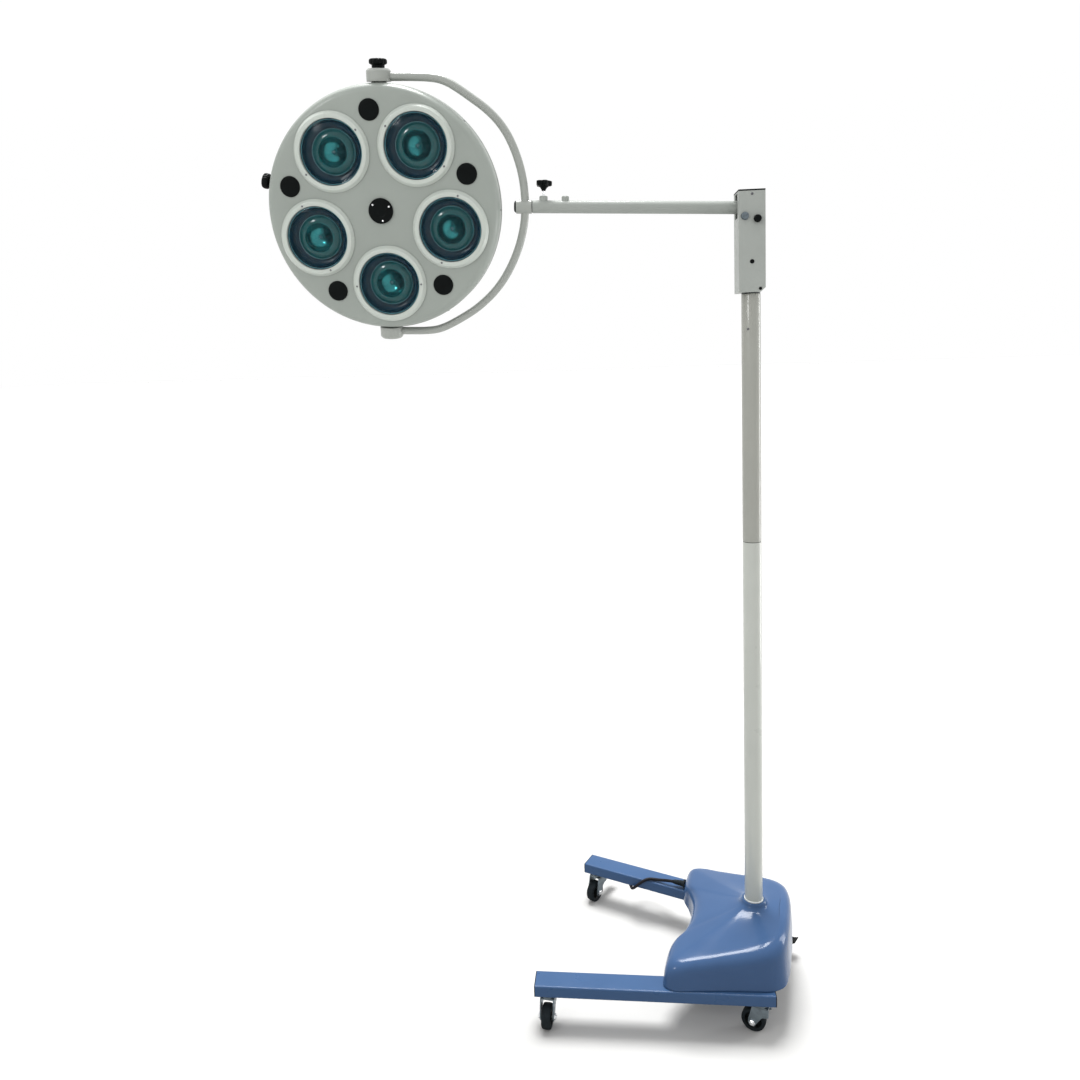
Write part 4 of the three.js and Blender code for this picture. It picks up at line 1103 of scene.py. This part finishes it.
def make_caps_and_plate():
    for i, place in enumerate(VENT_PLACES):
        cap = rounded([(0, 36.2), (20.3, 36.2), (20.5, 36.6), (20.2, 38), (18.4, 39.2), (0, 39.8)], 0.6)
        piece = turned(f"vent_cap_{i + 1}", cap, FACE @ move(*place), BLACK, 64, sharp=50)
        place_piece(piece, "lamp_head", "black_plastic", f"vent_plug_{i + 1}")
    plate = rounded([(0, 36.2), (24.7, 36.2), (24.9, 37), (24.9, 39.2), (23.8, 40.3), (12, 40.3), (11, 39.6),
                     (8.6, 39.4), (0, 39.4)], 0.5)
    place_piece(turned("handle_flange", plate, FACE, BLACK, 80, sharp=40), "lamp_head", "black_plastic",
                "handle_plate")
    places = [turn(angle) @ move(19.4, 0, 40.2) for angle in (142.9, 26, -79)]
    screws("handle_screws", 1.9, places, FACE, "lamp_head", CHROME)


def make_focus_knob():
    foot = HEAD_R + 0.2
    profile = [(0, foot, 0), (4, foot, 0), (4, foot + 2.8, 0), (11.6, foot + 3.2, 0), (13.4, foot + 4, 0.2),
               (15, foot + 5.8, 1), (15.5, foot + 7.4, 1), (15.5, foot + 12.6, 1), (14.9, foot + 14.8, 1),
               (13.6, foot + 16.5, 0.3), (11, foot + 17.5, 0), (0, foot + 17.8, 0)]
    bm = bmesh.new()
    add_fluted(bm, profile, 20, 1.0, 160)
    place = FACE @ turn(FOCUS_ANGLE) @ move(0, 0, 8) @ TO_X
    knob = finish_mesh(bm, "focus_grip", place, BLACK, sharp=50)
    place_piece(knob, "focus", "black_plastic", "focus_knob")


def make_pivots():
    pin = [(0, 238.5), (7, 238.5), (7, 261), (6, 262), (0, 262)]
    collar_profile = rounded([(7.2, 236), (15, 236.6), (15.4, 238.4), (14.6, 239.8), (7.2, 239.8)], 0.6)
    for name, flip in (("upper", 0), ("lower", 180)):
        place = HEAD @ turn(flip, "X")
        piece = turned(f"{name}_pin", pin, place, STEEL, 40)
        place_piece(piece, "lamp_head", "steel", f"{name}_pivot_pin")
        collar = turned(f"{name}_collar", collar_profile, place, WHITE, 64)
        place_piece(collar, "lamp_head", "white_shell")


make_legs()
make_cover()
make_castors()
make_column()
make_head_box()
make_brake_knob()
make_arm()
make_lock_knob()
make_yoke()
make_top_knob()
make_head_shells()
make_bezels()
make_optics()
make_caps_and_plate()
make_focus_knob()
make_pivots()
recolor("foot_frame", FRAME_PAINT, 0.8)
recolor("counterweight", IRON, 1.5)
recolor("transformer", IRON, 1.5)


# ---------------------------------------------------------------- studio
ZENITH = 1.3


def make_light(name, place, aim, width, height, power):
    data = bpy.data.lights.new(name, "AREA")
    data.shape = "RECTANGLE"
    data.size = width
    data.size_y = height
    data.energy = power
    light = bpy.data.objects.new(name, data)
    bpy.context.collection.objects.link(light)
    light.location = place
    light.rotation_euler = (Vector(aim) - Vector(place)).to_track_quat("-Z", "Y").to_euler()


def make_sky():
    """White all round and brighter overhead, like a room of softboxes."""
    world = bpy.data.worlds.new("studio")
    world.use_nodes = True
    nodes, links = world.node_tree.nodes, world.node_tree.links
    direction = nodes.new("ShaderNodeTexCoord")
    split = nodes.new("ShaderNodeSeparateXYZ")
    rise = nodes.new("ShaderNodeMapRange")
    rise.inputs["From Min"].default_value = 0.2
    rise.inputs["From Max"].default_value = 1.0
    rise.inputs["To Min"].default_value = 1.0
    rise.inputs["To Max"].default_value = ZENITH
    rise.interpolation_type = "SMOOTHSTEP"
    links.new(direction.outputs["Generated"], split.inputs["Vector"])
    links.new(split.outputs["Z"], rise.inputs["Value"])
    links.new(rise.outputs["Result"], nodes["Background"].inputs["Strength"])
    nodes["Background"].inputs["Color"].default_value = (1, 1, 1, 1)
    bpy.context.scene.world = world


def make_sun(name, heading, height, strength, spread):
    data = bpy.data.lights.new(name, "SUN")
    data.energy = strength
    data.angle = spread * DEG
    light = bpy.data.objects.new(name, data)
    bpy.context.collection.objects.link(light)
    light.rotation_euler = (turn(heading) @ turn(90 - height, "Y")).to_euler()


def make_studio():
    bpy.context.scene.view_settings.view_transform = "Standard"
    make_sky()
    mesh = bpy.data.meshes.new("floor")
    mesh.from_pydata([(-60, -60, 0), (60, -60, 0), (60, 60, 0), (-60, 60, 0)], [], [(0, 1, 2, 3)])
    mat = new_material("floor_paint", (0.38, 0.378, 0.373), 0.9, specular=0.0)
    mesh.materials.append(mat)
    floor = bpy.data.objects.new("floor", mesh)
    bpy.context.collection.objects.link(floor)
    make_sun("overhead", 110, 74, 5.9, 26)
    make_light("right_strip", (2.3, 1.1, 1.0), (0.43, 0, 0.7), 0.4, 2.0, 30)
    make_light("front_box", (-1.6, -3.4, 2.9), (-0.28, -0.2, 1.7), 0.6, 0.6, 30)


make_studio()
